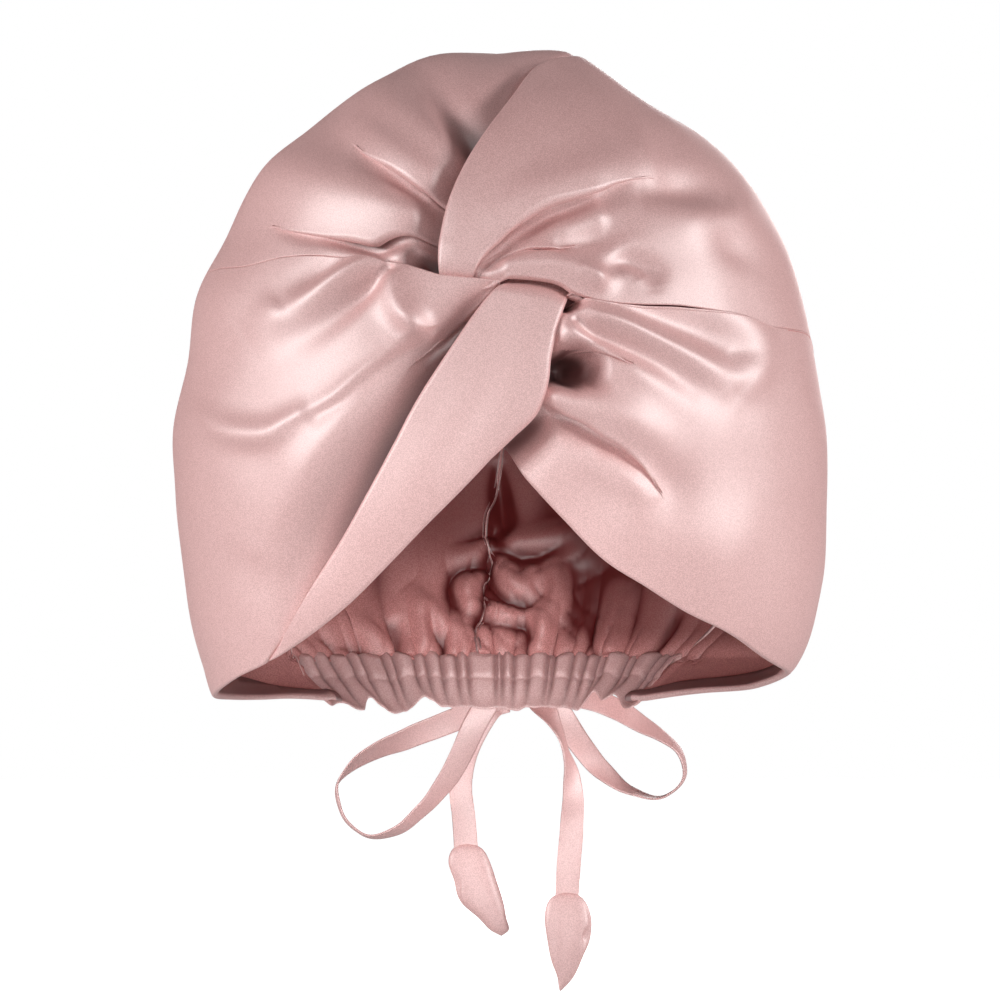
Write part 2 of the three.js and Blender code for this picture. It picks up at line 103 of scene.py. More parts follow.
def spline(points, steps):
    """Centripetal Catmull-Rom curve through points, as steps + 1 points."""
    points = np.asarray(points, float)
    padded = np.vstack((2 * points[0] - points[1], points, 2 * points[-1] - points[-2]))
    place = np.linspace(0.0, len(points) - 1, steps + 1)
    i = np.minimum(place.astype(int), len(points) - 2)
    t = (place - i)[:, None]
    p0, p1, p2, p3 = (padded[i + k] for k in range(4))
    gap0, gap1, gap2 = (
        np.maximum(np.linalg.norm(b - a, axis=1, keepdims=True) ** 0.5, 1e-4)
        for a, b in ((p0, p1), (p1, p2), (p2, p3))
    )
    slope1 = ((p1 - p0) / gap0 - (p2 - p0) / (gap0 + gap1) + (p2 - p1) / gap1) * gap1
    slope2 = ((p2 - p1) / gap1 - (p3 - p1) / (gap1 + gap2) + (p3 - p2) / gap2) * gap1
    return (
        p1
        + slope1 * t
        + (3 * (p2 - p1) - 2 * slope1 - slope2) * t**2
        + (2 * (p1 - p2) + slope1 + slope2) * t**3
    )


def lengths_along(points):
    return np.concatenate(([0.0], np.cumsum(np.linalg.norm(np.diff(points, axis=0), axis=1))))


def read_curve(dense, along, place):
    """Points at distances along a curve that is given as dense points."""
    return np.stack([np.interp(place, along, dense[:, k]) for k in range(3)], axis=-1)


# The form: outer radius from HEART toward the four sides, by the angle down from the top.
FORM = np.array([
    # down, left, right, front, back
    (0, 143.5, 143.5, 143.5, 143.5),
    (12, 146, 146.5, 142, 142),
    (24, 141, 139, 138, 138),
    (36, 137, 138.5, 132, 134),
    (48, 137, 138, 126, 130),
    (60, 132.5, 136, 121, 127),
    (72, 134, 133, 118, 124),
    (84, 132, 133, 116, 122),
    (96, 138, 137.5, 116, 120),
    (108, 143, 144, 117, 118),
    (120, 152, 157, 120, 118),
    (132, 168, 168, 126, 124),
    (138, 175, 166, 131, 131),
    (144, 168, 158, 138, 141),
    (156, 155, 148, 150, 156),
], float)
FINE_DOWN = np.linspace(0.0, FORM[-1, 0], 10 * int(FORM[-1, 0]) + 1)
FINE_FORM = [read_column(FORM[:, 0], FORM[:, k], FINE_DOWN) for k in range(1, 5)]


def form_radius(direction):
    down = np.degrees(np.arccos(np.clip(direction[..., 2], -1.0, 1.0)))
    turn = np.arctan2(direction[..., 0], -direction[..., 1])
    left, right, ahead, back = (np.interp(down, FINE_DOWN, column) for column in FINE_FORM)
    side = np.sin(turn)
    face = np.cos(turn)
    return np.where(side > 0, right, left) * side**2 + np.where(face > 0, ahead, back) * face**2


def aim(turn, down):
    turn = np.radians(turn)
    down = np.radians(down)
    return np.stack((
        np.sin(down) * np.sin(turn),
        -np.sin(down) * np.cos(turn),
        np.cos(down) + 0.0 * turn,
    ), axis=-1)


def meet_form(places, turn_at):
    """Directions of places at their heights; turn_at gives their turn by their reach from the axis."""
    places = np.asarray(places, float)
    radius = np.full(len(places), MEAN_RADIUS)
    for _ in range(SETTLING_STEPS):
        down = np.arccos(np.clip((places[:, 1] - HEART[2]) / radius, -1.0, 1.0))
        direction = aim(turn_at(places[:, 0], radius * np.sin(down)), np.degrees(down))
        radius = (radius + form_radius(direction)) / 2
    return direction


def seen_from_front(places):
    """Directions of places on the front, given as (x, z)."""
    return meet_form(places, lambda x, reach: np.degrees(np.arcsin(np.clip(x / reach, -1.0, 1.0))))


def seen_around(places):
    """Directions of places given as (turn, z)."""
    return meet_form(places, lambda turn, reach: turn)


def edge(*directions):
    """An edge curve: a function from places 0..1 along it to directions."""
    dense = spline(np.vstack(directions), CURVE_STEPS)
    along = lengths_along(dense)

    def at(t):
        return unit(read_curve(dense, along, np.clip(np.asarray(t, float), 0.0, 1.0) * along[-1]))

    return at


def stretch(line, start, end):
    """The part of an edge from one place to another."""
    return lambda t: line(start + (end - start) * np.asarray(t, float))


def backwards(line):
    return lambda t: line(1.0 - np.asarray(t, float))


def joined(*parts):
    """Edges that follow one another; each part is (edge, its length in mm)."""
    shares = np.array([share for _, share in parts], float)
    starts = np.concatenate(([0.0], np.cumsum(shares)))

    def at(t):
        place = np.clip(np.asarray(t, float), 0.0, 1.0) * starts[-1]
        result = np.zeros(place.shape + (3,))
        for k, (line, share) in enumerate(parts):
            here = (place >= starts[k]) & ((place < starts[k + 1]) | (k == len(parts) - 1))
            result[here] = line((place[here] - starts[k]) / share)
        return result

    return at


# Edges that two panels share.
lap = edge(
    seen_from_front([
        (-25.8, -91.5), (-25.4, -80), (-22, -65), (-15, -49), (-5, -33), (5, -18), (15.3, -4.5),
    ]),
    aim(np.array((60, 130, 163, 176, 181)), np.array((13, 20, 42, 75, 110))),
    seen_around([
        (183, -192), (183.2, -203), (181.4, -211), (184.4, -221), (183.4, -229), (186.2, -240),
        (BACK_SEAM, CASING_TOP),
    ]),
)
seam_left = edge(
    seen_from_front([(-25.8, -91.5), (-43.5, -86.3), (-65.7, -83.8), (-89.2, -84.6), (-105, -88)]),
    seen_around([
        (-90, -94.7), (-101, -118), (-111, -160), (-120, -205), (CASING_LEFT_END - 360, CASING_TOP),
    ]),
)
knot_top = edge(seen_from_front([(-25.8, -91.5), (-12, -93), (2, -93.6)]))
band_top = edge(seen_from_front([(2, -93.6), (14, -94.2), (24, -96), (30, -99.5)]))
seam_right = edge(
    seen_from_front([
        (30, -99.5), (40.5, -103), (58.6, -104.3), (75.8, -104.8), (93, -107.3), (112, -113),
    ]),
    seen_around([(90, -120), (100, -140), (110, -172), (121, -212), (CASING_RIGHT_END, CASING_TOP)]),
)
band_left = edge(seen_from_front([
    (2, -93.6), (-7.8, -103.9), (-19.5, -120.7), (-33.4, -142.1), (-43.9, -161.9),
    (-62.4, -196.3), (-78.3, -221.9), (-90, -243),
]))
band_right = edge(seen_from_front([
    (30, -99.5), (26.2, -108), (21.6, -126.2), (20.4, -137.5), (16, -150), (6, -160), (-3.6, -168.6),
]))
opening_left = edge(seen_from_front([
    (-3.6, -168.6), (-16.6, -182), (-30, -195.5), (-46, -212.3), (-62.4, -228.7), (-80, -243),
    (-97.6, -254.3),
]))
band_end = edge(seen_from_front([(-90, -243), (-97.6, -254.3)]))
hem_left = edge(
    seen_from_front([(-97.6, -254.3), (-110, -260.5)]),
    seen_around([(-88, -268.5), (-103, -270.5), (-116, -270.5), (CASING_LEFT_END - 360, CASING_HEM)]),
)
opening_right = edge(
    seen_from_front([
        (-3.6, -168.6), (2, -167.5), (11.5, -177.8), (25.4, -193), (43.5, -211), (60.7, -221.9),
        (75.8, -231.6), (93, -240), (106.5, -249.2),
    ]),
    seen_around([(90, -260), (102, -266), (117, -268.5), (CASING_RIGHT_END, CASING_HEM)]),
)


def level(start, end, z):
    """A level edge from one turn to another at a height."""
    return edge(seen_around([(start + (end - start) * k / 3, z) for k in range(4)]))


casing_top_right = level(BACK_SEAM, CASING_RIGHT_END, CASING_TOP)
casing_top_left = level(BACK_SEAM, CASING_LEFT_END, CASING_TOP)

# Folds seen from the front. Each row of a path is x, z, rise, spread in millimetres.
# A ridge is a soft round swell, or a hollow where its rise is negative. A crease is a sharp line,
# a pocket has steep sides, and a lip is high on the left of its path and sinks on the right.
CROWN_LEFT_FOLDS = [
    ("ridge", [(-27, -92, -8, 8), (-27, -78, -6, 8), (-24, -64, -4, 9), (-17, -48, -5, 9),
               (-7, -33, -6, 10), (4, -18, -4, 9), (15, -4, -1, 8)]),
    ("ridge", [(-34, -5, -1, 8), (-27, -14, -3, 8), (-20, -24, -5, 8), (-12, -33, -5, 7)]),
    ("ridge", [(-56, -16, 1, 12), (-36, -29, 3, 10), (-20, -42, 3.5, 8)]),
    ("ridge", [(-60, -30, 1, 8), (-46, -41, 2.5, 8), (-28, -52, 3, 7)]),
    ("ridge", [(-98, -44, 2, 18), (-62, -58, 3, 13), (-36, -66, 3, 8)]),
    ("pocket", [(-37, -83, -3, 4), (-31, -86, -11, 5), (-26, -88, -17, 6)]),
]
WRAP_LEFT_FOLDS = [
    ("ridge", [(-49, -85, 1, 5), (-56, -89, 3.5, 5), (-71, -97, 4, 6), (-89, -107, 2.5, 8),
               (-106, -117, 0.3, 10)]),
    ("ridge", [(-66, -85, -1, 5), (-76, -93, -2.5, 6), (-88, -103, -1.5, 7)]),
    ("ridge", [(-47, -88, -2.5, 4), (-57, -98, -3.5, 5), (-72, -111, -2, 7), (-88, -121, -0.3, 8)]),
    ("ridge", [(-44, -94, 2, 7), (-40, -105, 3.5, 7), (-34, -113, 4.5, 5), (-30, -117, 2, 4)]),
    ("lip", [(-94, -158, 0.2, 8), (-85.9, -153.9, 1.5, 9), (-65.7, -143.4, 3, 9),
             (-59.4, -138.4, 3.5, 9), (-46, -126.6, 4.5, 8), (-35.5, -118.6, 4.5, 7),
             (-30, -115, 2, 5)]),
    ("ridge", [(-127, -149, 1, 6), (-112, -156, 3, 6), (-94, -157, 3, 6), (-80, -151, 1.5, 6)]),
    ("ridge", [(-3, -97, -3, 4), (-14, -108, -6, 7), (-24, -125, -8, 10), (-35, -146, -9, 12),
               (-46, -166, -9, 13), (-64, -198, -7, 12), (-80, -223, -3, 9), (-92, -243, 0, 6)]),
    ("ridge", [(-40, -128, 1, 8), (-56, -146, 4, 12), (-78, -172, 4, 15), (-98, -202, 2, 16)]),
]
TWIST_BAND_FOLDS = [
    ("ridge", [(14, -108, 1.5, 16), (5, -128, 3, 18), (-14, -158, 3.5, 20), (-40, -192, 3, 20),
               (-66, -222, 2, 16), (-90, -246, 0, 8)]),
]
CROWN_RIGHT_FOLDS = [
    ("ridge", [(-18, -80, 2, 12), (-8, -58, 3.5, 18), (10, -36, 3.5, 24), (38, -18, 2, 28)]),
    ("ridge", [(0, -72, 1, 8), (14, -62, 2.5, 9), (34, -54, 3, 10), (58, -45, 2, 12)]),
    ("ridge", [(60, -57, -1, 6), (76, -56, -3, 7), (92, -60, -1, 8)]),
    ("ridge", [(26, -80, -1.5, 5), (40, -76, -2.5, 6), (54, -71, -0.5, 6)]),
    ("ridge", [(6, -77, 1, 5), (22, -71, 2, 6), (40, -66, 2, 7)]),
    ("ridge", [(4, -89, 1.5, 4), (16, -88, 2, 5), (30, -90, 2.5, 6), (46, -94, 1, 6)]),
    ("ridge", [(45.6, -89, -1, 4), (54, -85.5, -2.5, 4.5), (63, -90, -2, 5), (64, -97, -0.5, 4)]),
    ("ridge", [(34, -92, 1.5, 4), (40, -95, 2.5, 4), (44, -98, 0.5, 3)]),
    ("ridge", [(86, -72, -0.5, 7), (98, -80, -1.8, 7), (110, -89, -0.5, 7)]),
    ("ridge", [(58, -68, 0.5, 10), (84, -70, 2.5, 10), (102, -68, 1, 10)]),
]
WRAP_RIGHT_FOLDS = [
    ("ridge", [(33, -106, 1, 5), (39, -110, 3.5, 5), (50, -113.6, 4, 5.5), (60.7, -117.8, 4, 6),
               (76.6, -125.3, 3.5, 7), (87.6, -131.6, 3, 8), (100, -138, 0.5, 9)]),
    ("ridge", [(50, -106, -0.5, 5), (68, -110.5, -2.5, 8), (82, -116, -3, 9), (95, -124, -1, 9)]),
    ("ridge", [(88, -104, 0.5, 7), (103.5, -114, 2.5, 8), (108, -123.2, 2.5, 8),
               (105, -133, 2.5, 8), (96, -140, 0.5, 8)]),
    ("ridge", [(32, -111, -1.5, 3.5), (39, -116.5, -2.8, 4.5), (50, -121, -2.8, 5.5),
               (66, -128, -2.5, 7), (80, -136, -2, 8), (92, -143, -0.5, 8)]),
    ("ridge", [(27, -106, 1.5, 5), (26.5, -114, 3, 6), (34, -120, 3, 6), (46, -126, 2.5, 7),
               (62, -134, 2, 8), (80, -144, 0.5, 9)]),
    ("pocket", [(23, -131, -13, 7), (32, -131, -20, 8), (39, -132.5, -9, 7)]),
    ("ridge", [(20, -141, 1.5, 6), (36, -145, 2.5, 8), (54, -153, 3, 10), (70, -166, 0.5, 10)]),
    ("ridge", [(21, -150, -3, 5), (15, -156, -8, 7), (6, -162, -10, 8), (-5, -170, -9, 8)]),
    ("ridge", [(26, -95, -9, 3), (31, -101.5, -11, 3.2), (28, -106, -5, 2.5)]),
    ("ridge", [(38, -164, 1, 8), (54, -175, 2, 8), (63, -183, 0.5, 6)]),
    ("ridge", [(58, -167, -0.5, 8), (72, -182, -2, 9), (66, -196, -0.5, 9)]),
    ("ridge", [(58, -192, 1.5, 20), (92, -208, 1.5, 20)]),
]

# Folds of the back, as they show through the face opening. There a rise is a dark groove.
BACK_FOLDS = [
    ("ridge", [(-1, -172, 2, 4), (0.5, -184, 5.5, 5), (1.5, -194, 5.5, 5), (2, -202, 2, 4)]),
    ("crease", [(-3.6, -200, 2, 2.5), (-5.4, -211.5, 4, 2.5), (-3.6, -216, 4, 2.5),
                (-6.2, -221.5, 4, 2.5), (-7.5, -231, 4, 2.5), (-11, -236, 3.5, 2.5),
                (-9.6, -242, 3, 2.5), (-5, -248, 2, 2.5)]),
    ("crease", [(-3.4, -212, 3, 3), (-17.8, -215, 3, 3), (-21.6, -222, 3, 3), (-17.8, -229.5, 2.5, 3),
                (-10, -233, 1, 3)]),
    ("ridge", [(-6, -218, -2, 4), (-14, -222, -3, 4), (-12, -229, -2, 4)]),
    ("crease", [(-2.8, -198, 4, 4), (-10.5, -202, 3, 4), (-20, -204, 0.5, 4)]),
    ("ridge", [(-4, -204, -3, 4), (-14, -208, -2, 5), (-30, -214, -0.5, 8)]),
    ("ridge", [(-37, -225, -1, 4), (-34, -236, -3, 4), (-32, -248, -2, 3)]),
    ("ridge", [(-33, -228, -1, 4), (-26, -236, -3, 4), (-17, -240, -1, 3)]),
    ("ridge", [(-30, -234, 2, 3), (-26, -243, 3, 3), (-24, -250, 2, 3)]),
    ("crease", [(-84, -242, 1, 3), (-70, -247, 3, 3), (-50, -251, 3, 3)]),
    ("ridge", [(-66, -236, -2, 6), (-54, -244, -3, 5), (-46, -251, -2, 3)]),
    ("ridge", [(-44, -238, 2, 4), (-42, -246, 3.5, 3), (-43, -252, 3, 2.5)]),
    ("crease", [(-2.8, -206, 3, 3.5), (14.8, -208, 3, 4), (30, -203, 0.5, 4)]),
    ("ridge", [(2, -203, -2, 4), (16, -202, -3, 5), (32, -197, -1, 6)]),
    ("crease", [(-5.3, -218, 3.5, 3), (2.3, -227, 3.5, 3), (11, -229.5, 3, 3), (20, -224, 1, 3)]),
    ("ridge", [(0, -214, -3, 4), (9, -221, -3.5, 4.5), (14, -216, -2, 5)]),
    ("crease", [(-7.9, -234.5, 3, 2.5), (2.3, -238, 3, 3), (11, -238, 3, 3), (14, -244, 3, 2.5),
                (9, -250, 2, 2.5)]),
    ("ridge", [(-4, -231, -2, 3), (6, -233, -3, 3.5), (15, -234, -2, 3.5), (19, -242, -2, 3)]),
    ("ridge", [(22.4, -213, -2, 4), (26, -223, -3.5, 4), (21, -236, -3, 4), (16, -249, -2, 3)]),
    ("ridge", [(34, -215, 2, 6), (32, -232, 3, 6), (28, -250, 2, 3)]),
    ("crease", [(42, -226, 0.5, 3), (39, -240, 3, 2.5), (40, -252, 3, 2.5)]),
    ("ridge", [(52, -222, -1, 7), (48, -240, -3, 5), (47, -252, -2, 3)]),
    ("crease", [(80, -230, 1, 4), (72, -242, 3, 3), (64, -251, 3, 3)]),
]


# How a fold is worked out: curve steps from one row of its path to the next, how far to its
# sides and past its ends it reaches, how wide a lip's step is, all in spreads, and how deep the
# hollow along a lip is, as a share of its rise.
FOLD_STEPS = 8
FOLD_REACH = 3.0
FOLD_END = 0.8
LIP_STEP = 0.22
LIP_HOLLOW = 0.35


def fold_height(kind, offset, rise, spread):
    """Height of one fold; offset is positive to the left of its path."""
    ridge = rise * np.exp(-((offset / spread) ** 2))
    if kind == "ridge":
        return ridge
    if kind == "crease":
        return rise * np.exp(-np.abs(offset) / spread)
    if kind == "pocket":
        return rise * np.exp(-np.abs(offset / spread) ** 3)
    step = rise * 0.5 * (1.0 + np.tanh(offset / (LIP_STEP * spread)))
    return step * np.exp(-np.maximum(offset, 0) / spread) - LIP_HOLLOW * ridge


def fold_relief(x, z, folds):
    """Sum of the heights of a table of folds at places seen at x, z."""
    total = np.zeros(x.shape)
    for kind, rows in folds:
        dense = spline(np.array(rows, float), FOLD_STEPS * (len(rows) - 1))
        reach = FOLD_REACH * dense[:, 3].max()
        near = (
            (x > dense[:, 0].min() - reach) & (x < dense[:, 0].max() + reach)
            & (z > dense[:, 1].min() - reach) & (z < dense[:, 1].max() + reach)
        )
        if not near.any():
            continue
        px = x[near][:, None]
        pz = z[near][:, None]
        step = np.diff(dense[:, :2], axis=0)
        size = np.sum(step**2, axis=1)
        along = ((px - dense[:-1, 0]) * step[:, 0] + (pz - dense[:-1, 1]) * step[:, 1]) / size
        t = np.clip(along, 0.0, 1.0)
        gap_x = px - dense[:-1, 0] - t * step[:, 0]
        gap_z = pz - dense[:-1, 1] - t * step[:, 1]
        gap = np.hypot(gap_x, gap_z)
        best = np.argmin(gap, axis=1)
        pick = np.arange(len(best))
        side = np.sign(step[best, 0] * gap_z[pick, best] - step[best, 1] * gap_x[pick, best])
        side = np.where(side == 0, 1.0, side)
        share = t[pick, best]
        rise = dense[best, 2] * (1 - share) + dense[best + 1, 2] * share
        spread = dense[best, 3] * (1 - share) + dense[best + 1, 3] * share
        past = np.maximum(
            np.where(best == 0, -along[pick, 0], 0.0),
            np.where(best == len(step) - 1, along[pick, -1] - 1.0, 0.0),
        )
        fade = np.exp(-((np.maximum(past, 0.0) * np.sqrt(size[best]) / (FOLD_END * spread)) ** 2))
        total[near] += fold_height(kind, side * gap[pick, best], rise, spread) * fade
    return total


# Faint undulation of a loosely filled cloth: wave number along x, y and z per mm, phase, height.
SWELLS = np.array([
    (0.060, 0.020, 0.045, 0.3, 0.30),
    (-0.035, 0.050, 0.080, 1.7, 0.25),
    (0.110, -0.040, 0.030, 4.1, 0.14),
    (0.020, 0.090, -0.120, 2.2, 0.12),
    (-0.140, 0.030, 0.090, 5.3, 0.08),
    (0.170, 0.110, 0.060, 0.9, 0.06),
])
WAVE_SHIFT = 0.8
WAVE_SHIFT_RATE = 0.7

# How many times the heights in the tables the folds are built, over what depth those of the
# front die out toward the sides, and where those of the back start and are full.
FRONT_DEPTH = 1.5
FRONT_FADE = 25.0
BACK_DEPTH = 1.1
BACK_START = 10.0
BACK_FULL = 40.0


def undulation(base):
    """Height of the undulation, where each wave is shifted by another."""
    phase = base @ SWELLS[:, :3].T + SWELLS[:, 3]
    phase = phase + WAVE_SHIFT * np.sin(phase[:, ::-1] * WAVE_SHIFT_RATE)
    return np.sin(phase) @ SWELLS[:, 4]


def front_relief(folds):
    """Relief of a table on the front half, dying out over the sides."""
    def at(base, direction):
        height = FRONT_DEPTH * fold_relief(base[:, 0], base[:, 2], folds)
        return height * smoothstep(0.0, FRONT_FADE, -base[:, 1]) + undulation(base)
    return at


# Where the elastic pulls the cloth into pleats, as seen from the front.
PLEAT_VALLEYS = np.array([
    # x at the casing, lean per mm of height, reach up, depth
    (-88, -1.3, 10, 2), (-82, -1.3, 14, 3), (-75, -1.2, 10, 2), (-68, -1.0, 20, 3.5),
    (-60.5, -0.8, 10, 2.5), (-55.5, -0.7, 30, 4), (-47, -0.5, 10, 2.5), (-43, -0.4, 30, 4),
    (-35, -0.3, 12, 3), (-30, 0.0, 9, 2), (-24, 0.2, 28, 4), (-17.5, 0.1, 10, 2.5),
    (-13, 0.3, 16, 3), (-1.5, -0.2, 24, 3.5), (1.2, 0.1, 8, 2), (6, 0.1, 18, 3),
    (12.2, -0.1, 26, 3.5), (20, 0.3, 10, 2.5), (22.5, 0.2, 30, 4), (30, 0.3, 12, 2.5),
    (35, 0.4, 30, 4), (40, 0.4, 8, 2), (42.6, 0.6, 22, 3), (51, 0.5, 28, 4),
    (54, 0.6, 9, 2), (62, 0.9, 24, 3.5), (65, 1.0, 9, 2), (72, 1.1, 18, 3),
    (78, 1.2, 10, 2), (84, 1.3, 14, 2.5),
], float)


def valleys(x, width):
    """0 between the pleats, 1 in a valley."""
    gap = np.min(np.abs(x[:, None] - PLEAT_VALLEYS[None, :, 0]), axis=1)
    return np.exp(-((gap / width) ** 1.5))


# The gathers above the casing, in mm: how far up they run and lean, how wide and deep a crease
# is, how much it widens upward, how far the cloth is drawn in and up to where, and the swells
# that lie between the gathers, with their number round the form and how far they sway.
GATHER_REACH = 110.0
LEAN_REACH = 60.0
GATHER_WIDTH = 1.3
GATHER_WIDENING = 0.16
GATHER_DEPTH = 1.3
DRAWN_IN = 3.0
DRAWN_REACH = 16.0
SWELL_HEIGHT = 1.6
SWELL_START = 25.0
SWELL_REACH = 75.0
SWELLS_ROUND = 17.0
SWAY = 0.06
GATHERS_FULL = 45.0
CASING_FADE = 5.0

# Wrinkles beside the back seam: their height running up and running across, their sharpness, and
# how far down they start and are full.
UPRIGHT_WRINKLE = 1.5
LYING_WRINKLE = 1.6
WRINKLE_WIDTH = 0.25
WRINKLES_START = 196.0
WRINKLES_FULL = 216.0


def above_casing(base):
    """0 below the casing's top and 1 above it."""
    return smoothstep(CASING_TOP - CASING_FADE, CASING_TOP, base[:, 2])


def gathers(base, direction):
    """Gathers of the back: creases that run up from the casing between puffs, and die out."""
    turn = np.arctan2(direction[:, 0], -direction[:, 1])
    up = np.maximum(base[:, 2] - CASING_TOP, 0.0)
    height = np.zeros(len(base))
    low = (up < GATHER_REACH) & (base[:, 1] > 0)
    for x, lean, reach, deep in PLEAT_VALLEYS:
        gap = np.abs(base[low, 0] - x - lean * up[low] * np.exp(-up[low] / LEAN_REACH))
        width = GATHER_WIDTH + GATHER_WIDENING * up[low]
        height[low] += GATHER_DEPTH * deep * np.exp(-gap / width) * np.exp(-up[low] / reach)
    height -= DRAWN_IN * (1 - np.exp(-up / 2.0)) * np.exp(-up / DRAWN_REACH)
    height *= above_casing(base)
    swell = SWELL_HEIGHT * np.exp(-up / SWELL_REACH) * (1 - np.exp(-up / SWELL_START))
    sway = SWAY * np.sin(up / 13.0 + 3.0 * turn)
    height += swell * np.sin((turn + sway) * SWELLS_ROUND + 1.0)
    return height * smoothstep(BACK_START, GATHERS_FULL, base[:, 1])


def crumples(x, z):
    """Small wrinkles of the slack cloth about the centre seam of the back."""
    upright = x * 0.2 + 2.2 * np.sin(z * 0.11 + 0.6) + 1.4 * np.sin(x * 0.07 + z * 0.17)
    lying = z * 0.3 + 1.6 * np.sin(x * 0.13 + 0.5) + 0.5 * np.sin(x * 0.31)
    height = 0.0
    for phase, rise, middle, spread in (
        (upright, UPRIGHT_WRINKLE, 0.0, 45.0),
        (lying, LYING_WRINKLE, -2.0, 15.0),
    ):
        wrinkle = rise * np.exp(-np.abs(np.sin(phase)) / WRINKLE_WIDTH)
        height = height + wrinkle * np.exp(-(((x - middle) / spread) ** 2))
    return height * smoothstep(WRINKLES_START, WRINKLES_FULL, -z)


def back_relief(base, direction):
    """Folds and wrinkles of the back, dying out toward the sides and the casing."""
    x, y, z = base.T
    height = BACK_DEPTH * fold_relief(x, z, BACK_FOLDS) + crumples(x, z)
    return height * smoothstep(BACK_START, BACK_FULL, y) * above_casing(base)


def whole_relief(folds):
    """Relief of a panel that runs from the front to the back."""
    front = front_relief(folds)

    def at(base, direction):
        return front(base, direction) + gathers(base, direction) + back_relief(base, direction)

    return at


def along_edge(table, places):
    """Value of a (place, value) table, or one value all along."""
    if np.isscalar(table):
        return np.full(places.shape, float(table))
    rows = np.array(table, float)
    row = np.interp(places, rows[:, 0], np.arange(len(rows)))
    before = np.floor(row).astype(int)
    after = np.minimum(before + 1, len(rows) - 1)
    return rows[before, 1] + (rows[after, 1] - rows[before, 1]) * smoothstep(0.0, 1.0, row - before)


# Values in mm that an edge has where its spec says nothing.
PLAIN_EDGE = {
    "over": 1.0, "roll": 0.8, "dive": 1.5, "under": 3.0, "slip": 6.0, "drop": 3.0, "lean": 12.0,
}


def rolled(roll, dive, under):
    """An edge that turns down by its roll and its dive, and back under itself."""
    return {"over": 1.0, "roll": roll, "dive": dive, "under": under}


def tucked(slip, drop, lean):
    """An edge that sinks by its drop over its lean, and slips on under its neighbour."""
    return {"over": 0.0, "slip": slip, "drop": drop, "lean": lean}


def mixed(over, rolled_edge, tucked_edge):
    """An edge that is rolled where over is 1 and tucked where it is 0."""
    return {**tucked_edge, **rolled_edge, "over": over}


def edge_shape(spec, places, inward, beyond):
    """How far a panel's edge sinks and reaches out.

    inward is how far a place lies inside the edge, in mm, and beyond runs 0..1 over the rows
    past it.
    """
    over, roll, dive, under, slip, drop, lean = (
        along_edge(spec.get(key, usual), places) for key, usual in PLAIN_EDGE.items()
    )
    share = 1.0 - np.clip(inward / roll, 0.0, 1.0)
    rolled_sink = roll * (1.0 - np.sqrt(np.maximum(1.0 - share**2, 0.0)))
    first = np.clip(beyond * 2.0, 0.0, 1.0) * math.pi / 2
    second = np.clip(beyond * 2.0 - 1.0, 0.0, 1.0)
    rolled_sink = rolled_sink + dive * np.sin(first)
    rolled_out = -dive * (1.0 - np.cos(first)) - under * second
    tucked_sink = drop * np.clip(1.0 - inward / lean, 0.0, 1.0) ** 2 + 0.4 * drop * beyond
    tucked_out = slip * beyond
    sink = over * rolled_sink + (1 - over) * tucked_sink
    out = over * rolled_out + (1 - over) * tucked_out
    return sink, out


# Rows of a panel's grid past each of its edges, and down a pleat.
TUCK_ROWS = 8
PLEAT_ROWS = 16
PLEAT_STEP = 0.04  # spread in mm of a pleat's rows where it has died out
PLEAT_SHADE = 10.0  # depth in mm that the shade inside a pleat stands for
SUNK_ROLLS = 3.0  # how many times its roll a pleat's lower cloth starts below it

# Least size in mm of a band of cloth, steps inward from a rim that give its direction, and the
# most of a band's width that a rolled edge and a pleat take.
LEAST_WIDTH = 0.5
LEAST_LENGTH = 60.0
STEP_ALONG = 0.03
STEP_ACROSS = 0.04
MOST_ROLLED = 0.45
MOST_PLEATED = 0.9


def row_plan(counts):
    """What each row of a panel's grid is, for the counts of rows between its pleats.

    Columns of the plan: the band of cloth between two pleats, the place 0..1 across it, the place
    in the pleat that follows it, and the places past the panel's near and far edges.
    """
    plan = [(0, 0.0, 0.0, 1.0 - i / TUCK_ROWS, 0.0) for i in range(TUCK_ROWS)]
    for band, count in enumerate(counts):
        plan += [(band, i / count, 0.0, 0.0, 0.0) for i in range(count + 1)]
        if band < len(counts) - 1:
            plan += [(band, 1.0, i / (PLEAT_ROWS + 1), 0.0, 0.0) for i in range(1, PLEAT_ROWS + 1)]
    last = len(counts) - 1
    plan += [(last, 1.0, 0.0, 0.0, (i + 1) / TUCK_ROWS) for i in range(TUCK_ROWS)]
    return np.array(plan)


def pleat_section(place, roll, tuck):
    """Cross-section of a pleat from its lip to the cloth below: how far across, how deep.

    The four quarters of place go round the lip, back under it, round the bottom and out again.
    """
    part = np.clip(place[None, :] * 4.0 - np.arange(4)[:, None], 0.0, 1.0)
    quarter = part[0] * math.pi / 2
    turn = part[2] * math.pi
    across = -roll * (1 - np.cos(quarter)) - tuck * part[1] - 0.5 * roll * np.sin(turn)
    across = across + (roll + tuck) * part[3]
    deep = roll + roll * np.sin(quarter) + 0.5 * roll * (1 - np.cos(turn))
    return across + PLEAT_STEP * place, deep


def skin(direction):
    """Points of the form in directions."""
    return HEART + direction * form_radius(direction)[:, None]


def gap_mm(first, second):
    """Distance along the form between directions, row by row."""
    return np.arccos(np.clip(np.sum(first * second, axis=1), -1, 1)) * MEAN_RADIUS


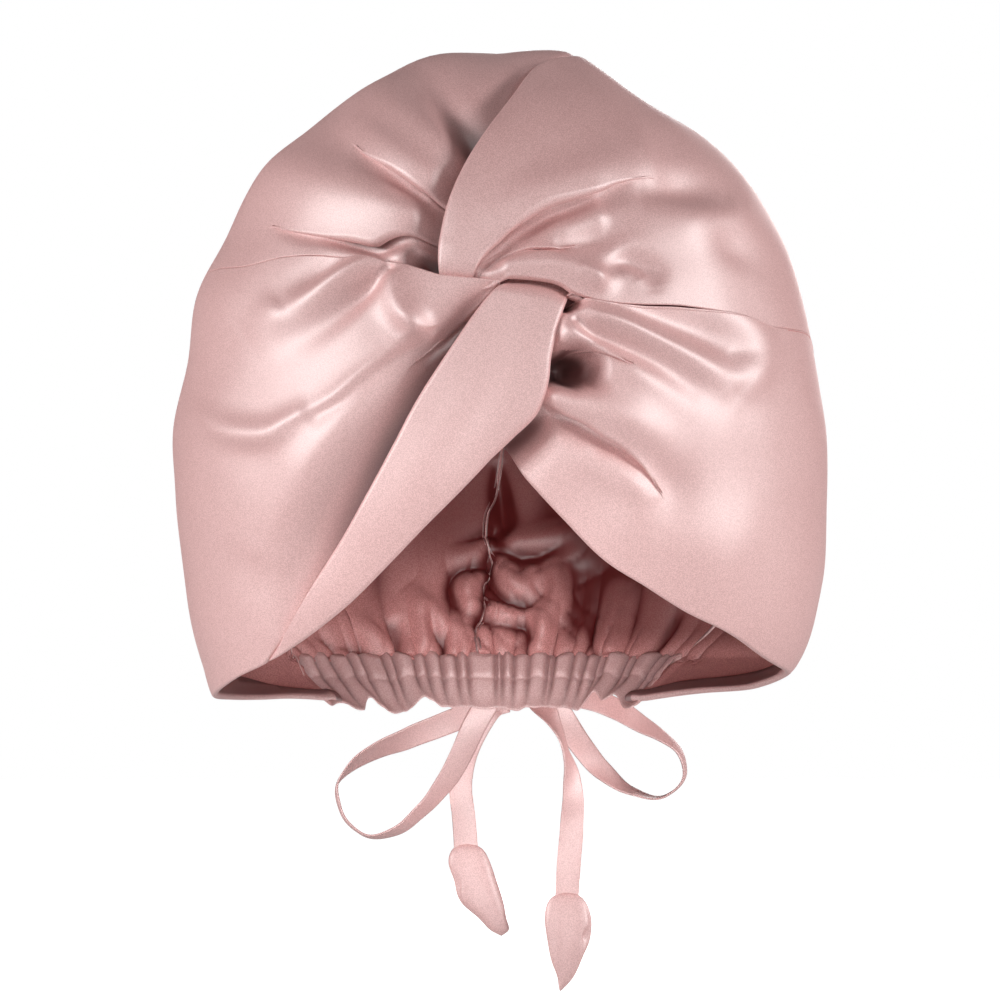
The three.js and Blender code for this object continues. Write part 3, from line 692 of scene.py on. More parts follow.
def span_edges(near, far, start, end):
    """A patch between four edges: a function from places along and across it to directions."""
    corners = near(0.0), near(1.0), far(0.0), far(1.0)

    def at(a, b):
        a1 = a[:, None]
        b1 = b[:, None]
        return unit(
            near(a) * (1 - b1) + far(a) * b1 + start(b) * (1 - a1) + end(b) * a1
            - corners[0] * (1 - a1) * (1 - b1) - corners[1] * a1 * (1 - b1)
            - corners[2] * (1 - a1) * b1 - corners[3] * a1 * b1
        )

    return at


def panel_points(along, across, edges, pleats_over, relief, specs, close):
    """Points in mm of a panel's outside, and how deep each lies in a fold, for its painted shade.

    For each vertex, along holds its place 0..1 from the start edge to the end edge and how far
    it lies past them, and across is its row of the plan. close draws the rows of a band of cloth
    together at the band's two sides.
    """
    near, far, start, end = edges
    lines = [near, *(lip["line"] for lip in pleats_over), far]
    from_start = [0.0, *(lip["start"] for lip in pleats_over), 1.0]
    to_end = [0.0, *(lip["end"] for lip in pleats_over), 1.0]
    last = len(lines) - 2
    points = np.zeros((len(along), 3))
    depth = np.zeros(len(along))
    for band in range(len(lines) - 1):
        here = across[:, 0] == band
        a, past_start, past_end = along[here].T
        b, in_pleat, past_near, past_far = across[here, 1:].T
        b = b - np.sin(2 * math.pi * b) * close
        patch = span_edges(
            lines[band], lines[band + 1],
            stretch(start, from_start[band], from_start[band + 1]),
            stretch(end, to_end[band], to_end[band + 1]),
        )
        width = np.maximum(gap_mm(lines[band](a), lines[band + 1](a)), LEAST_WIDTH)
        whole = from_start[band] + (from_start[band + 1] - from_start[band]) * b
        length = np.maximum(gap_mm(start(whole), end(whole)), LEAST_LENGTH)
        none = np.zeros_like(a)
        sides = [
            ("start", whole, a * length, past_start, (none, b), (none + STEP_ALONG, b)),
            ("end", whole, (1 - a) * length, past_end, (none + 1, b), (none + 1 - STEP_ALONG, b)),
        ]
        if band == 0:
            sides.append(("near", a, b * width, past_near, (a, none), (a, none + STEP_ACROSS)))
        if band == last:
            inner_row = (a, none + 1 - STEP_ACROSS)
            sides.append(("far", a, (1 - b) * width, past_far, (a, none + 1), inner_row))
        sink = np.zeros_like(a)
        slides = []
        turned = {"start": none, "end": none, "near": none, "far": none}
        for name, places, inward, beyond, rim, inner in sides:
            down, out = edge_shape(specs[name], places, inward, beyond)
            out = out * (beyond > 0)
            size = length if name in ("start", "end") else width
            turned[name] = np.minimum(np.maximum(-out, 0.0) / size, MOST_ROLLED)
            slides.append((np.maximum(out, 0.0), rim, inner))
            sink += down
        if band > 0:
            above = pleats_over[band - 1]
            fade = np.exp(-((b * width / above["spread"]) ** 2))
            sink += SUNK_ROLLS * along_edge(above["roll"], a) * fade
        if band < last:
            pleat_here = pleats_over[band]
            roll = np.maximum(along_edge(pleat_here["roll"], a), 1e-4)
            share = 1.0 - np.clip((1 - b) * width / roll, 0.0, 1.0)
            lip = roll * (1.0 - np.sqrt(np.maximum(1.0 - share**2, 0.0)))
            out, deep = pleat_section(in_pleat, roll, along_edge(pleat_here["tuck"], a) * roll)
            sink += np.where(in_pleat > 0, deep, lip)
            turned["far"] = np.minimum(-out * (in_pleat > 0) / width, MOST_PLEATED)
            # Rows inside a pleat get painted shade, as if they lay PLEAT_SHADE mm deep.
            depth[here] = (in_pleat > 0) * PLEAT_SHADE * (
                smoothstep(0.8, 2.4, roll) * smoothstep(0.1, 0.3, in_pleat)
            )
        direction = patch(a + turned["start"] - turned["end"], b + turned["near"] - turned["far"])
        base = skin(direction)
        height = relief(base, direction)
        offset = np.zeros((len(a), 3))
        for out, rim, inner in slides:
            way = skin(patch(*rim)) - skin(patch(*inner))
            way -= direction * np.sum(way * direction, axis=1)[:, None]
            offset += unit(way) * out[:, None]
        depth[here] -= height
        points[here] = base + direction * (height - sink)[:, None] + offset
    return points, depth


def finish_mesh(bm, name, smooth=True):
    """The piece that a bmesh becomes, in the scene."""
    for face in bm.faces:
        face.smooth = smooth
    mesh = bpy.data.meshes.new(name)
    bm.to_mesh(mesh)
    bm.free()
    piece = bpy.data.objects.new(name, mesh)
    bpy.context.scene.collection.objects.link(piece)
    return piece


def flat_grid(columns, rows):
    """A flat unit grid with its UVs, and the place 0..1 of each of its vertices."""
    bm = bmesh.new()
    bm.loops.layers.uv.new("UVMap")
    bmesh.ops.create_grid(bm, x_segments=columns, y_segments=rows, size=0.5, calc_uvs=True)
    bm.verts.ensure_lookup_table()
    places = np.array([vert.co[:2] for vert in bm.verts]) + 0.5
    return bm, places


def move_vertices(bm, points):
    for vert, point in zip(bm.verts, points * MM):
        vert.co = point


def thicken(piece, thickness, offset=-1.0):
    wall = piece.modifiers.new("wall", "SOLIDIFY")
    wall.thickness = thickness * MM
    wall.offset = offset
    wall.use_even_offset = False


def write_painted_shade(bm, shares):
    """Writes each vertex's painted shade, read by the materials; negative is for the inner side."""
    # The hollow attribute holds this painted shade.
    hollow = bm.verts.layers.float.new("hollow")
    for vert, share in zip(bm.verts, shares):
        vert[hollow] = share


def spread_columns(t, rows):
    """Spreads the columns by a table of (share of the columns, place along the panel)."""
    table = np.array([(0, 0), *rows, (1, 1)], float)
    return np.interp(t, table[:, 0], table[:, 1])


# Depths in mm over which painted shade grows in a fold of the outside and in a groove of the inner
# side, and the painted shade inside at the top of the back, at its right and along its seams.
FOLD_SHADE = (3.0, 15.0)
GROOVE_SHADE = (0.5, 4.5)
TOP_SHADE = 0.7
RIGHT_SHADE = 0.55
SEAM_SHADE = 0.8


def inner_shade(points, depth):
    """Share of painted shade on the inner side of the back: its grooves, its top and its right."""
    x, y, z = points.T
    high = TOP_SHADE * smoothstep(-240.0, -192.0, z)
    right = RIGHT_SHADE * smoothstep(12.0, 46.0, x) * smoothstep(CASING_TOP, -240.0, z)
    at_back = smoothstep(0.0, BACK_FULL, y)
    return np.minimum(smoothstep(*GROOVE_SHADE, -depth) + (high + right) * at_back, 1.0)


SAME_PLACE = 0.06  # vertices nearer than this, in mm, are one
OUTWARD_SAMPLES = 400


def make_panel(name, edges, columns, rows, relief, specs, pleats_over=(), warp=(), close=0.1):
    """A panel of cloth between its near, far, start and end edges, with its pleats."""
    plan = row_plan(rows)
    last = len(plan) - 1
    bm, places = flat_grid(columns, last)
    row = np.round(places[:, 1] * last).astype(int)
    column = places[:, 0] * columns
    inside = np.clip((column - TUCK_ROWS) / (columns - 2 * TUCK_ROWS), 0.0, 1.0)
    along = np.stack((
        spread_columns(inside, warp),
        np.clip((TUCK_ROWS - column) / TUCK_ROWS, 0.0, 1.0),
        np.clip((column - (columns - TUCK_ROWS)) / TUCK_ROWS, 0.0, 1.0),
    ), axis=1)
    points, depth = panel_points(along, plan[row], edges, pleats_over, relief, specs, close)
    move_vertices(bm, points)
    to_rim = np.minimum(np.minimum(column, columns - column), np.minimum(row, last - row))
    # Painted shade in the folds and on the inner side, and a fixed painted shade on the turned-under
    # rims of the back.
    seam = (to_rim < TUCK_ROWS - 2) & (points[:, 1] > 5.0)
    shades = smoothstep(*FOLD_SHADE, depth) - inner_shade(points, depth)
    write_painted_shade(bm, np.where(seam, SEAM_SHADE, shades))
    bmesh.ops.remove_doubles(bm, verts=bm.verts, dist=SAME_PLACE * MM)
    bm.normal_update()
    outward = sum(
        face.normal.dot(face.calc_center_median() - Vector(HEART * MM))
        for face in list(bm.faces)[:: max(1, len(bm.faces) // OUTWARD_SAMPLES)]
    )
    if outward < 0:
        bmesh.ops.reverse_faces(bm, faces=bm.faces)
    area = sum(face.calc_area() for face in bm.faces)
    piece = finish_mesh(bm, name)
    thicken(piece, CLOTH)
    return piece


def pleat(start_line, start, end_line, end, directions, roll, tuck, spread, foot=None):
    """A pleat whose lip runs from a place on a panel's start edge to one on its end edge.

    roll is the radius of its lip, tuck how far it runs back under itself as a multiple of roll,
    and spread how far below it the cloth stays sunk. foot is where the cloth beside it meets the
    end edge, if not at the end of the lip.
    """
    return {
        "line": edge(start_line(np.array([start])), *directions, end_line(np.array([end]))),
        "start": start,
        "end": end if foot is None else foot,
        "roll": roll,
        "tuck": tuck,
        "spread": spread,
    }


SEAM = rolled(0.4, 1.0, 0.2)
FLUSH = rolled(0.3, 0.6, 0.2)
FREE_HEM = rolled(1.8, 1.7, 9)
AT_CASING = tucked(2, 0.1, 2)
AT_CASING_END = tucked(4, 0.8, 3)

lap_foot = backwards(stretch(lap, 0, 0.17))
crown_left = make_panel(
    "satin_crown_left",
    (stretch(lap, 0.17, 1), seam_left, lap_foot, casing_top_left),
    columns=220, rows=(58, 46, 40), relief=whole_relief(CROWN_LEFT_FOLDS),
    specs={
        "near": mixed([(0.3, 0), (0.45, 1)], SEAM, tucked(7, 3, 9)),
        "far": mixed([(0.1, 0), (0.2, 1)], SEAM, tucked(7, 3.5, 8)),
        "start": tucked(7, 3, 8),
        "end": AT_CASING,
    },
    pleats_over=(
        pleat(
            lap_foot, 0.58, casing_top_left, 0.35,
            (
                seen_from_front([(-33.4, -56.5), (-45.6, -48.9), (-55.2, -43.4), (-68, -34)]),
                aim(np.array((-90, -130, -155)), np.array((45, 58, 85))),
            ),
            roll=[(0, 1.2), (0.04, 2.2), (0.15, 0)], tuck=[(0, 3), (0.08, 0)], spread=8,
        ),
        pleat(
            lap_foot, 0.77, casing_top_left, 0.68,
            (
                seen_from_front([
                    (-41.8, -75.4), (-47.2, -77), (-52.3, -79.1), (-61.9, -77.5), (-74.5, -75.8),
                    (-87.6, -73.7), (-106, -71),
                ]),
                aim(np.array((-95, -120, -138)), np.array((64, 76, 98))),
            ),
            roll=[(0, 1.0), (0.09, 2.6), (0.17, 0.8), (0.26, 0)],
            tuck=[(0, 3), (0.06, 3), (0.16, 0)], spread=7,
        ),
    ),
    warp=((0.5, 0.36), (0.62, 0.7)),
)
crown_foot = joined((knot_top, 28), (band_top, 29))
crown_right = make_panel(
    "satin_crown_right",
    (lap, seam_right, crown_foot, casing_top_right),
    columns=240, rows=(72, 40, 48), relief=whole_relief(CROWN_RIGHT_FOLDS),
    specs={
        "near": rolled(
            [(0, 2.0), (0.05, 3), (0.25, 3), (0.4, 0.4)], [(0, 2.5), (0.3, 2.5), (0.4, 1.0)],
            [(0.3, 4), (0.4, 0.2)],
        ),
        "far": rolled([(0, 1.5), (0.08, 0.4)], 1.0, 0.2),
        "start": mixed([(0.46, 0), (0.52, 1)], rolled(1.8, 2.2, 4), tucked(6, 3, 5)),
        "end": AT_CASING,
    },
    pleats_over=(
        pleat(
            crown_foot, 0.255, casing_top_right, 0.45,
            (
                seen_from_front([
                    (-6.9, -85.4), (0.2, -78.7), (8.2, -72.4), (20.8, -65.3), (30, -62.3),
                    (40.5, -59), (48.1, -55.6), (57.8, -53.1), (75.8, -51.8),
                ]),
                aim(np.array((85, 120, 145, 156)), np.array((52, 62, 84, 105))),
            ),
            roll=[(0, 0.8), (0.03, 2.0), (0.09, 3.4), (0.23, 0)],
            tuck=[(0, 4), (0.05, 2), (0.12, 0)], spread=9,
        ),
        pleat(
            crown_foot, 0.30, casing_top_right, 0.7,
            (
                seen_from_front([
                    (-2.7, -86.7), (2.7, -83.3), (12.4, -80.8), (20.8, -81.5), (36, -79), (60, -74),
                    (90, -76),
                ]),
                aim(np.array((90, 118, 138)), np.array((68, 78, 97))),
            ),
            roll=[(0, 0.5), (0.02, 1.1), (0.05, 1.5), (0.13, 0)],
            tuck=[(0, 3), (0.08, 0)], spread=4.5,
        ),
    ),
    warp=((0.5, 0.32), (0.62, 0.72)),
)
knot_end = edge(knot_top(np.array([0.9])), band_left(np.array([0.02])))
casing_side_left = edge(
    seen_around([(CASING_LEFT_END - 360, CASING_TOP), (CASING_LEFT_END - 360, CASING_HEM)])
)
front_wrap_left = make_panel(
    "satin_wrap_left",
    (
        joined((stretch(backwards(knot_top), 0.1, 1), 25), (seam_left, 340)),
        joined((stretch(band_left, 0.02, 1), 175), (band_end, 14), (hem_left, 176)),
        knot_end, casing_side_left,
    ),
    columns=220, rows=(88, 48), relief=whole_relief(WRAP_LEFT_FOLDS),
    specs={
        "near": rolled(
            [(0, 1.2), (0.07, 1.8), (0.16, 2.0), (0.24, 0.4)],
            [(0, 1.5), (0.16, 2.0), (0.24, 1.0)], [(0.16, 3), (0.24, 0.2)],
        ),
        "far": mixed(
            [(0.47, 0), (0.52, 1)], FREE_HEM,
            tucked(9, [(0, 2), (0.1, 4), (0.4, 3), (0.5, 1)], 12),
        ),
        "start": tucked(0.5, 2, 4),
        "end": AT_CASING_END,
    },
    pleats_over=(
        pleat(
            knot_end, 0.5, casing_side_left, 0.85,
            (
                seen_from_front([
                    (-5.2, -99.7), (-12.4, -106.3), (-20.5, -114), (-31, -124), (-46, -141), (-64, -166),
                    (-84, -198), (-98, -224),
                ]),
                seen_around([(-75, -243), (-92, -253), (-110, -259)]),
            ),
            roll=[(0, 0.5), (0.03, 1.2), (0.1, 1.2), (0.2, 0)], tuck=[(0, 2), (0.12, 0)], spread=4,
            foot=0.55,
        ),
    ),
    warp=((0.68, 0.5),),
)
twist_band = make_panel(
    "satin_twist_band",
    (band_left, joined((band_right, 80), (opening_left, 130)), band_top, band_end),
    columns=190, rows=(64,), relief=front_relief(TWIST_BAND_FOLDS),
    specs={
        "near": rolled(
            [(0, 1.5), (0.1, 3), (0.8, 2.5), (1, 0.7)], [(0, 1.5), (0.1, 3), (0.8, 2), (1, 1.5)],
            [(0, 2), (0.1, 5), (0.9, 3)],
        ),
        "far": rolled(
            [(0, 2), (0.1, 3), (0.3, 4), (0.45, 2)], [(0, 2), (0.3, 3), (0.45, 1.8)],
            [(0, 4), (0.35, 6), (0.45, 9)],
        ),
        "start": tucked(7, 6, 10),
        "end": tucked(4, 1.5, 6),
    },
    close=0.09,
)
casing_side_right = edge(
    seen_around([(CASING_RIGHT_END, CASING_TOP), (CASING_RIGHT_END, CASING_HEM)])
)
front_wrap_right = make_panel(
    "satin_wrap_right",
    (seam_right, opening_right, band_right, casing_side_right),
    columns=220, rows=(50, 34, 50), relief=whole_relief(WRAP_RIGHT_FOLDS),
    specs={"near": FLUSH, "far": FREE_HEM, "start": tucked(8, 4, 7), "end": AT_CASING_END},
    pleats_over=(
        pleat(
            band_right, 0.40, casing_side_right, 0.33,
            (
                seen_from_front([
                    (26.7, -125.8), (31.3, -123.7), (36.3, -123.4), (45, -126), (62, -134), (85, -146),
                ]),
                seen_around([(80, -160), (100, -188), (112, -212), (122, -238)]),
            ),
            roll=[(0, 1.2), (0.04, 2.4), (0.14, 0)], tuck=[(0, 3), (0.03, 3), (0.09, 0)], spread=6,
        ),
        pleat(
            band_right, 0.60, casing_side_right, 0.67,
            (
                seen_from_front([
                    (26.7, -150.5), (35.1, -154.3), (43, -159.8), (50.2, -164), (59.4, -172.4),
                    (66, -182), (76, -196),
                ]),
                seen_around([(60, -213), (80, -228), (100, -240), (115, -252), (125, -260)]),
            ),
            roll=[(0, 1.6), (0.05, 2.6), (0.12, 2.4), (0.27, 0)],
            tuck=[(0, 4), (0.05, 3), (0.13, 0.6), (0.2, 0)], spread=8,
        ),
    ),
    warp=((0.62, 0.42),),
)
panels = (crown_left, crown_right, front_wrap_left, twist_band, front_wrap_right)


# Lower edge of the ruffle below the casing: x, z as it hangs.
RUFFLE_HEM = np.array([
    (-100, -272), (-86, -273), (-78, -271), (-68, -274.2), (-62, -269.5), (-54, -274.5),
    (-44, -274.2), (-35, -269.5), (-27, -272.8), (-14, -273.2), (-4, -273.6), (2, -273.6),
    (7, -274.4), (13, -273.2), (22, -273.2), (31, -273.2), (38, -273.8), (44, -267.5), (49, -270.5),
    (55, -268.5), (62, -273), (67, -273.5), (72, -269), (80, -271), (90, -273), (100, -272),
], float)

# The casing: where the places of its pleats are measured, how much of the hem's rise and fall
# is built, the widths of a pleat and of the dent beside a puff, and over what share of its
# length it flattens at its ends.
CASING_MIDDLE = -262.0
HEM_REST = -273.0
HEM_SHARE = 0.7
VALLEY_WIDTH = 1.3
PUFF_WIDTH = 2.4
END_SHARE = 1 / 12

# Shares of the way down the casing's outside: the middle of its channel and how far that
# reaches, the stitch line under it and its width, the ruffle and the start of its rounded hem.
CHANNEL_DOWN = 0.27
CHANNEL_REACH = 0.22
STITCHES_DOWN = 0.5
STITCHES_WIDTH = 0.03
RUFFLE_DOWN = 0.52
ROUND_DOWN = 0.95

# The casing's section in mm: half of its thickness at the top, how much the channel's filling
# adds, how far it lies inside the form, how far its pleats, lobes and puffs stand out, and how
# much its top rises and falls.
CASING_HALF = 0.3
CHANNEL_FILL = 1.5
CASING_INSIDE = 1.2
PLEATS_OUT = 1.6
LOBES_OUT = 1.6
PUFFS_OUT = 0.8
TOP_WAVE = 0.7


def casing_points(u, v):
    """Points in mm of the nape casing, a strip folded at its hem, and its painted shade in the pleats.

    u runs along the casing and v over its outside down to the hem and up its inside again.
    """
    turn = CASING_RIGHT_END + (CASING_LEFT_END - CASING_RIGHT_END) * u
    down = 1.0 - np.abs(1.0 - 2.0 * v)
    middle_line = seen_around(np.stack((turn, np.full_like(turn, CASING_MIDDLE)), axis=1))
    x = middle_line[:, 0] * form_radius(middle_line)
    valley = valleys(x, VALLEY_WIDTH)
    puff = 1.0 - valleys(x, PUFF_WIDTH)
    fade = np.minimum(1.0, np.minimum(u, 1 - u) / END_SHARE)
    hem = HEM_REST + HEM_SHARE * (read_column(RUFFLE_HEM[:, 0], RUFFLE_HEM[:, 1], x) - HEM_REST)
    top = CASING_TOP + 0.4 + TOP_WAVE * np.sin(x * 0.43 + 1.0) * fade
    z = top + (hem - top) * down
    direction = seen_around(np.stack((turn, z), axis=1))
    channel = np.exp(-(((down - CHANNEL_DOWN) / CHANNEL_REACH) ** 4))
    ruffle = smoothstep(RUFFLE_DOWN, 1.0, down)
    stitched = np.exp(-(((down - STITCHES_DOWN) / STITCHES_WIDTH) ** 2))
    filled = CHANNEL_FILL * (1 + 0.35 * np.sin(x * 0.31 + 1.3)) * channel * (1 - 0.9 * valley)
    half = CASING_HALF + 0.6 * smoothstep(0.0, 0.12, down) + filled - 0.4 * stitched - 0.4 * ruffle
    lobe = (CASING_HEM - hem) / 2.0
    wave = ruffle * (LOBES_OUT * lobe + PUFFS_OUT * puff - 0.6) * fade
    middle = -CASING_INSIDE + wave + CASING_INSIDE * ruffle + PLEATS_OUT * valley * (1 - ruffle)
    past_round = np.clip((down - ROUND_DOWN) / (1.0 - ROUND_DOWN), 0, 1)
    round_hem = np.sqrt(np.clip(1.0 - past_round**2, 0, 1))
    height = middle + np.where(v < 0.5, 1.0, -1.0) * half * round_hem
    points = HEART + direction * (form_radius(direction) + height)[:, None]
    # The second value is painted shade in the pleat valleys, fainter on the ruffle.
    return points, valley * (1 - 0.8 * ruffle)


def make_casing(name, columns, rows):
    """The nape casing, whose pleats get less painted shade than the folds of the panels."""
    bm, places = flat_grid(columns, rows)
    points, valley = casing_points(places[:, 0], places[:, 1])
    move_vertices(bm, points)
    write_painted_shade(bm, 0.6 * valley)
    bmesh.ops.recalc_face_normals(bm, faces=bm.faces)
    piece = finish_mesh(bm, name)
    thicken(piece, CASING_CLOTH)
    return piece


nape_casing = make_casing("satin_nape_casing", columns=420, rows=84)

# The ribbon's routes: x, y behind BOW_DEPTH, z, and how far the face is turned from the front.
LOOP_LEFT = [
    (0.6, 0, -268.7, 0), (-12, 2, -276, 5), (-38, 5, -286.5, 25), (-58.5, 6, -295.5, 60),
    (-69, 4, -306, 90), (-67, 1, -319.5, 95), (-57, -2, -328.5, 98), (-45, -3, -327, 108),
    (-30.5, -3, -315, 128), (-19.5, -2, -300, 152), (-10.5, -2, -281, 176), (-5, -2, -271.5, 180),
]
LOOP_RIGHT = [
    (19.8, 1, -264.8, 0), (27.5, 2, -279, 5), (42.5, 3, -299.5, 35), (57, 3, -310, 72),
    (70, 1, -312, 90), (79, -1, -303, 94), (76, -3, -291.5, 105), (61, -4, -281, 132),
    (44.5, -3, -272, 155), (22.5, -2, -266.5, 180),
]
TAIL_LEFT = [
    (3, 3, -271, 0), (-2.5, 4, -273, 0), (-8.5, 5, -281, 0), (-14.5, 5, -294, 0),
    (-16.6, 5, -307, 0), (-15.2, 5, -321, 5), (-14.2, 5, -335.2, 5),
]
TAIL_RIGHT = [
    (17, -1.5, -271.5, 20), (23, -6, -280, 60), (28, -7, -292, 75), (31, -6, -307, 40),
    (30.8, -5, -324, 5), (29.5, -5, -340, 0), (28.6, -5, -355.6, 0),
]


TANGENT_STEP = 0.004


def ribbon_frame(route, t):
    """Points of a ribbon's middle line at places t, its width direction, its face, its length."""
    rows = np.array(route, float)
    rows[:, 1] += BOW_DEPTH
    dense = spline(rows[:, :3], CURVE_STEPS)
    along = lengths_along(dense)
    length = along[-1]
    marks = along[np.round(np.linspace(0, CURVE_STEPS, len(rows))).astype(int)] / length
    ahead = read_curve(dense, along, np.minimum(t + TANGENT_STEP, 1) * length)
    behind = read_curve(dense, along, np.maximum(t - TANGENT_STEP, 0) * length)
    tangent = unit(ahead - behind)
    turned = np.radians(read_column(marks, rows[:, 3], t))[:, None]
    sideways = unit(np.cross(tangent, BACKWARD))
    width = sideways * np.cos(turned) + BACKWARD * np.sin(turned)
    width = unit(width - tangent * np.sum(width * tangent, axis=1)[:, None])
    return read_curve(dense, along, t * length), width, np.cross(tangent, width), length


def make_ribbon(name, route, steps, cup=0.35):
    """A strip of ribbon, cupped across and a little wavy, and its length in mm."""
    bm, places = flat_grid(steps, 16)
    t = places[:, 0]
    across = (places[:, 1] - 0.5) * 2.0
    middle, width, face, length = ribbon_frame(route, t)
    along = t * length
    wobble = 0.18 * np.sin(along / 5.5 + 1.0) * across + 0.12 * np.sin(along / 2.3)
    half = RIBBON_WIDTH / 2 * (1 + 0.02 * np.sin(along / 9.0))
    height = cup * (across**2 - 0.4) + wobble
    move_vertices(bm, middle + width * (across * half)[:, None] + face * height[:, None])
    bmesh.ops.recalc_face_normals(bm, faces=bm.faces)
    piece = finish_mesh(bm, name)
    thicken(piece, RIBBON_THICKNESS, offset=0.0)
    return piece, length


BLUNTNESS = 14  # how late a pod's ends close


def make_pod(name, rows, depth, segments, rings, shape):
    """A stuffed body through oval sections (x, z, wide, deep), shaped by a fold function."""
    table = np.array(rows, float)
    bm = bmesh.new()
    bm.loops.layers.uv.new("UVMap")
    bmesh.ops.create_uvsphere(bm, u_segments=segments, v_segments=rings, radius=1.0, calc_uvs=True)
    ball = np.array([vert.co[:] for vert in bm.verts])
    down = np.arccos(np.clip(ball[:, 2], -1, 1)) / math.pi
    angle = np.arctan2(ball[:, 1], ball[:, 0])
    z = table[0, 1] + (table[-1, 1] - table[0, 1]) * down
    order = -table[:, 1]
    cx = read_column(order, table[:, 0], -z)
    wide = read_column(order, table[:, 2], -z)
    deep = read_column(order, table[:, 3], -z)
    close = np.sqrt(np.clip(1.0 - np.abs(down * 2 - 1) ** BLUNTNESS, 0.0, 1.0))
    swell = shape(angle, down)
    points = np.stack((
        cx + np.cos(angle) * wide / 2 * close * swell,
        depth + np.sin(angle) * deep / 2 * close * swell,
        z,
    ), axis=1)
    move_vertices(bm, points)
    bmesh.ops.recalc_face_normals(bm, faces=bm.faces)
    return finish_mesh(bm, name)


def dip(value, middle, width):
    """1 at a value's middle, dying out over its width."""
    return np.exp(-(((value - middle) / width) ** 2))


def fold_round(angle, middle, width):
    """1 along a fold that lies at an angle round a pod, dying out to its sides."""
    return dip(np.angle(np.exp(1j * (angle - middle))), 0.0, width)


def knot_folds(angle, down):
    return 1.0 + 0.07 * np.sin(angle * 3 + down * 9) - 0.08 * dip(down, 0.55, 0.06)


def left_tip_folds(angle, down):
    crease = fold_round(angle, -1.9 - 1.5 * down, 0.25) * np.sin(down * math.pi)
    second = fold_round(angle, 2.4 + down, 0.3)
    return 1.0 - 0.12 * crease - 0.08 * second + 0.02 * np.sin(angle * 5)


def right_tip_folds(angle, down):
    crease = fold_round(angle, -0.5 + 0.8 * down, 0.22) * np.sin(down * math.pi)
    hollow = dip(down, 0.45, 0.08) * fold_round(angle, -0.5, 0.35)
    second = fold_round(angle, -2.0 - down, 0.3)
    return 1.0 - 0.08 * crease - 0.3 * hollow - 0.06 * second


bow_loop_left, length_loop_left = make_ribbon("ribbon_loop_left", LOOP_LEFT, 150)
bow_loop_right, length_loop_right = make_ribbon("ribbon_loop_right", LOOP_RIGHT, 130)
tie_tail_left, length_tail_left = make_ribbon("ribbon_tail_left", TAIL_LEFT, 70)
tie_tail_right, length_tail_right = make_ribbon("ribbon_tail_right", TAIL_RIGHT, 80)
bow_knot = make_pod("ribbon_knot", [
    (9.5, -260, 9, 5), (9.5, -262.5, 13.5, 8.6), (9, -269, 13.5, 8.6), (8, -272.5, 10, 6),
], BOW_DEPTH - 1, segments=48, rings=32, shape=knot_folds)
tie_tip_left = make_pod("satin_tip_left", [
    (-13.8, -332.0, 12.5, 3), (-13, -339.5, 17.7, 6), (-10.5, -347.5, 18.3, 8),
    (-8, -356.5, 19, 8), (-3, -364, 12, 6), (0, -369, 8.5, 4), (0.8, -371.3, 2, 1.5),
], BOW_DEPTH + 5, segments=72, rings=64, shape=left_tip_folds)
tie_tip_right = make_pod("satin_tip_right", [
    (28.6, -352.4, 12.5, 3), (28.8, -358.5, 18, 6), (29.3, -365, 20, 8), (29.5, -373, 18.3, 8),
    (28.5, -381.5, 13, 6), (28, -388.5, 7, 4), (25.8, -394.5, 1.5, 1.5),
], BOW_DEPTH - 5, segments=72, rings=64, shape=right_tip_folds)


def new_group(name, inputs, outputs):
    """A shader group with named sockets, and the nodes at its two ends."""
    group = bpy.data.node_groups.new(name, "ShaderNodeTree")
    for label, kind, default in inputs:
        socket = group.interface.new_socket(label, in_out="INPUT", socket_type=kind)
        socket.default_value = default
    for label, kind in outputs:
        group.interface.new_socket(label, in_out="OUTPUT", socket_type=kind)
    return group, group.nodes.new("NodeGroupInput"), group.nodes.new("NodeGroupOutput")


def math_node(tree, operation, first, second):
    """Result of two numbers or sockets."""
    node = tree.nodes.new("ShaderNodeMath")
    node.operation = operation
    for socket, value in zip(node.inputs, (first, second)):
        if isinstance(value, (int, float)):
            socket.default_value = value
        else:
            tree.links.new(value, socket)
    return node.outputs[0]


def mix_node(tree, share, first, second):
    """Color between two colour sockets."""
    node = tree.nodes.new("ShaderNodeMix")
    node.data_type = "RGBA"
    node.clamp_factor = True
    for label, socket in (("Factor", share), ("A", first), ("B", second)):
        tree.links.new(socket, node.inputs[label])
    return node.outputs["Result"]


def place_group(tree, group, values):
    """A group placed in a material with its own values."""
    node = tree.nodes.new("ShaderNodeGroup")
    node.node_tree = group
    for label, value in values.items():
        node.inputs[label].default_value = value
    return node


# The weave's twill line against its grain: how much coarser it is, and how high.
TWILL_PITCH = 0.22
TWILL_HEIGHT = 0.25
GLINT_CONTRAST = 8.0


def build_satin_weave():
    """Fine floats of the satin, with a faint twill line, as a height and a glint mask."""
    group, given, result = new_group(
        "satin_weave",
        [("Vector", "NodeSocketVector", (0, 0, 0)), ("Pitch", "NodeSocketFloat", 1600.0)],
        [("Height", "NodeSocketFloat"), ("Glint", "NodeSocketFloat")],
    )
    links = group.links
    grain = group.nodes.new("ShaderNodeTexNoise")
    grain.inputs["Detail"].default_value = 1.0
    links.new(given.outputs["Vector"], grain.inputs["Vector"])
    links.new(given.outputs["Pitch"], grain.inputs["Scale"])
    twill = group.nodes.new("ShaderNodeTexWave")
    twill.bands_direction = "DIAGONAL"
    twill.inputs["Distortion"].default_value = 0.6
    links.new(given.outputs["Vector"], twill.inputs["Vector"])
    twill_scale = math_node(group, "MULTIPLY", given.outputs["Pitch"], TWILL_PITCH)
    links.new(twill_scale, twill.inputs["Scale"])
    line = math_node(group, "MULTIPLY", twill.outputs["Fac"], TWILL_HEIGHT)
    links.new(math_node(group, "ADD", grain.outputs["Fac"], line), result.inputs["Height"])
    links.new(grain.outputs["Fac"], result.inputs["Glint"])
    return group


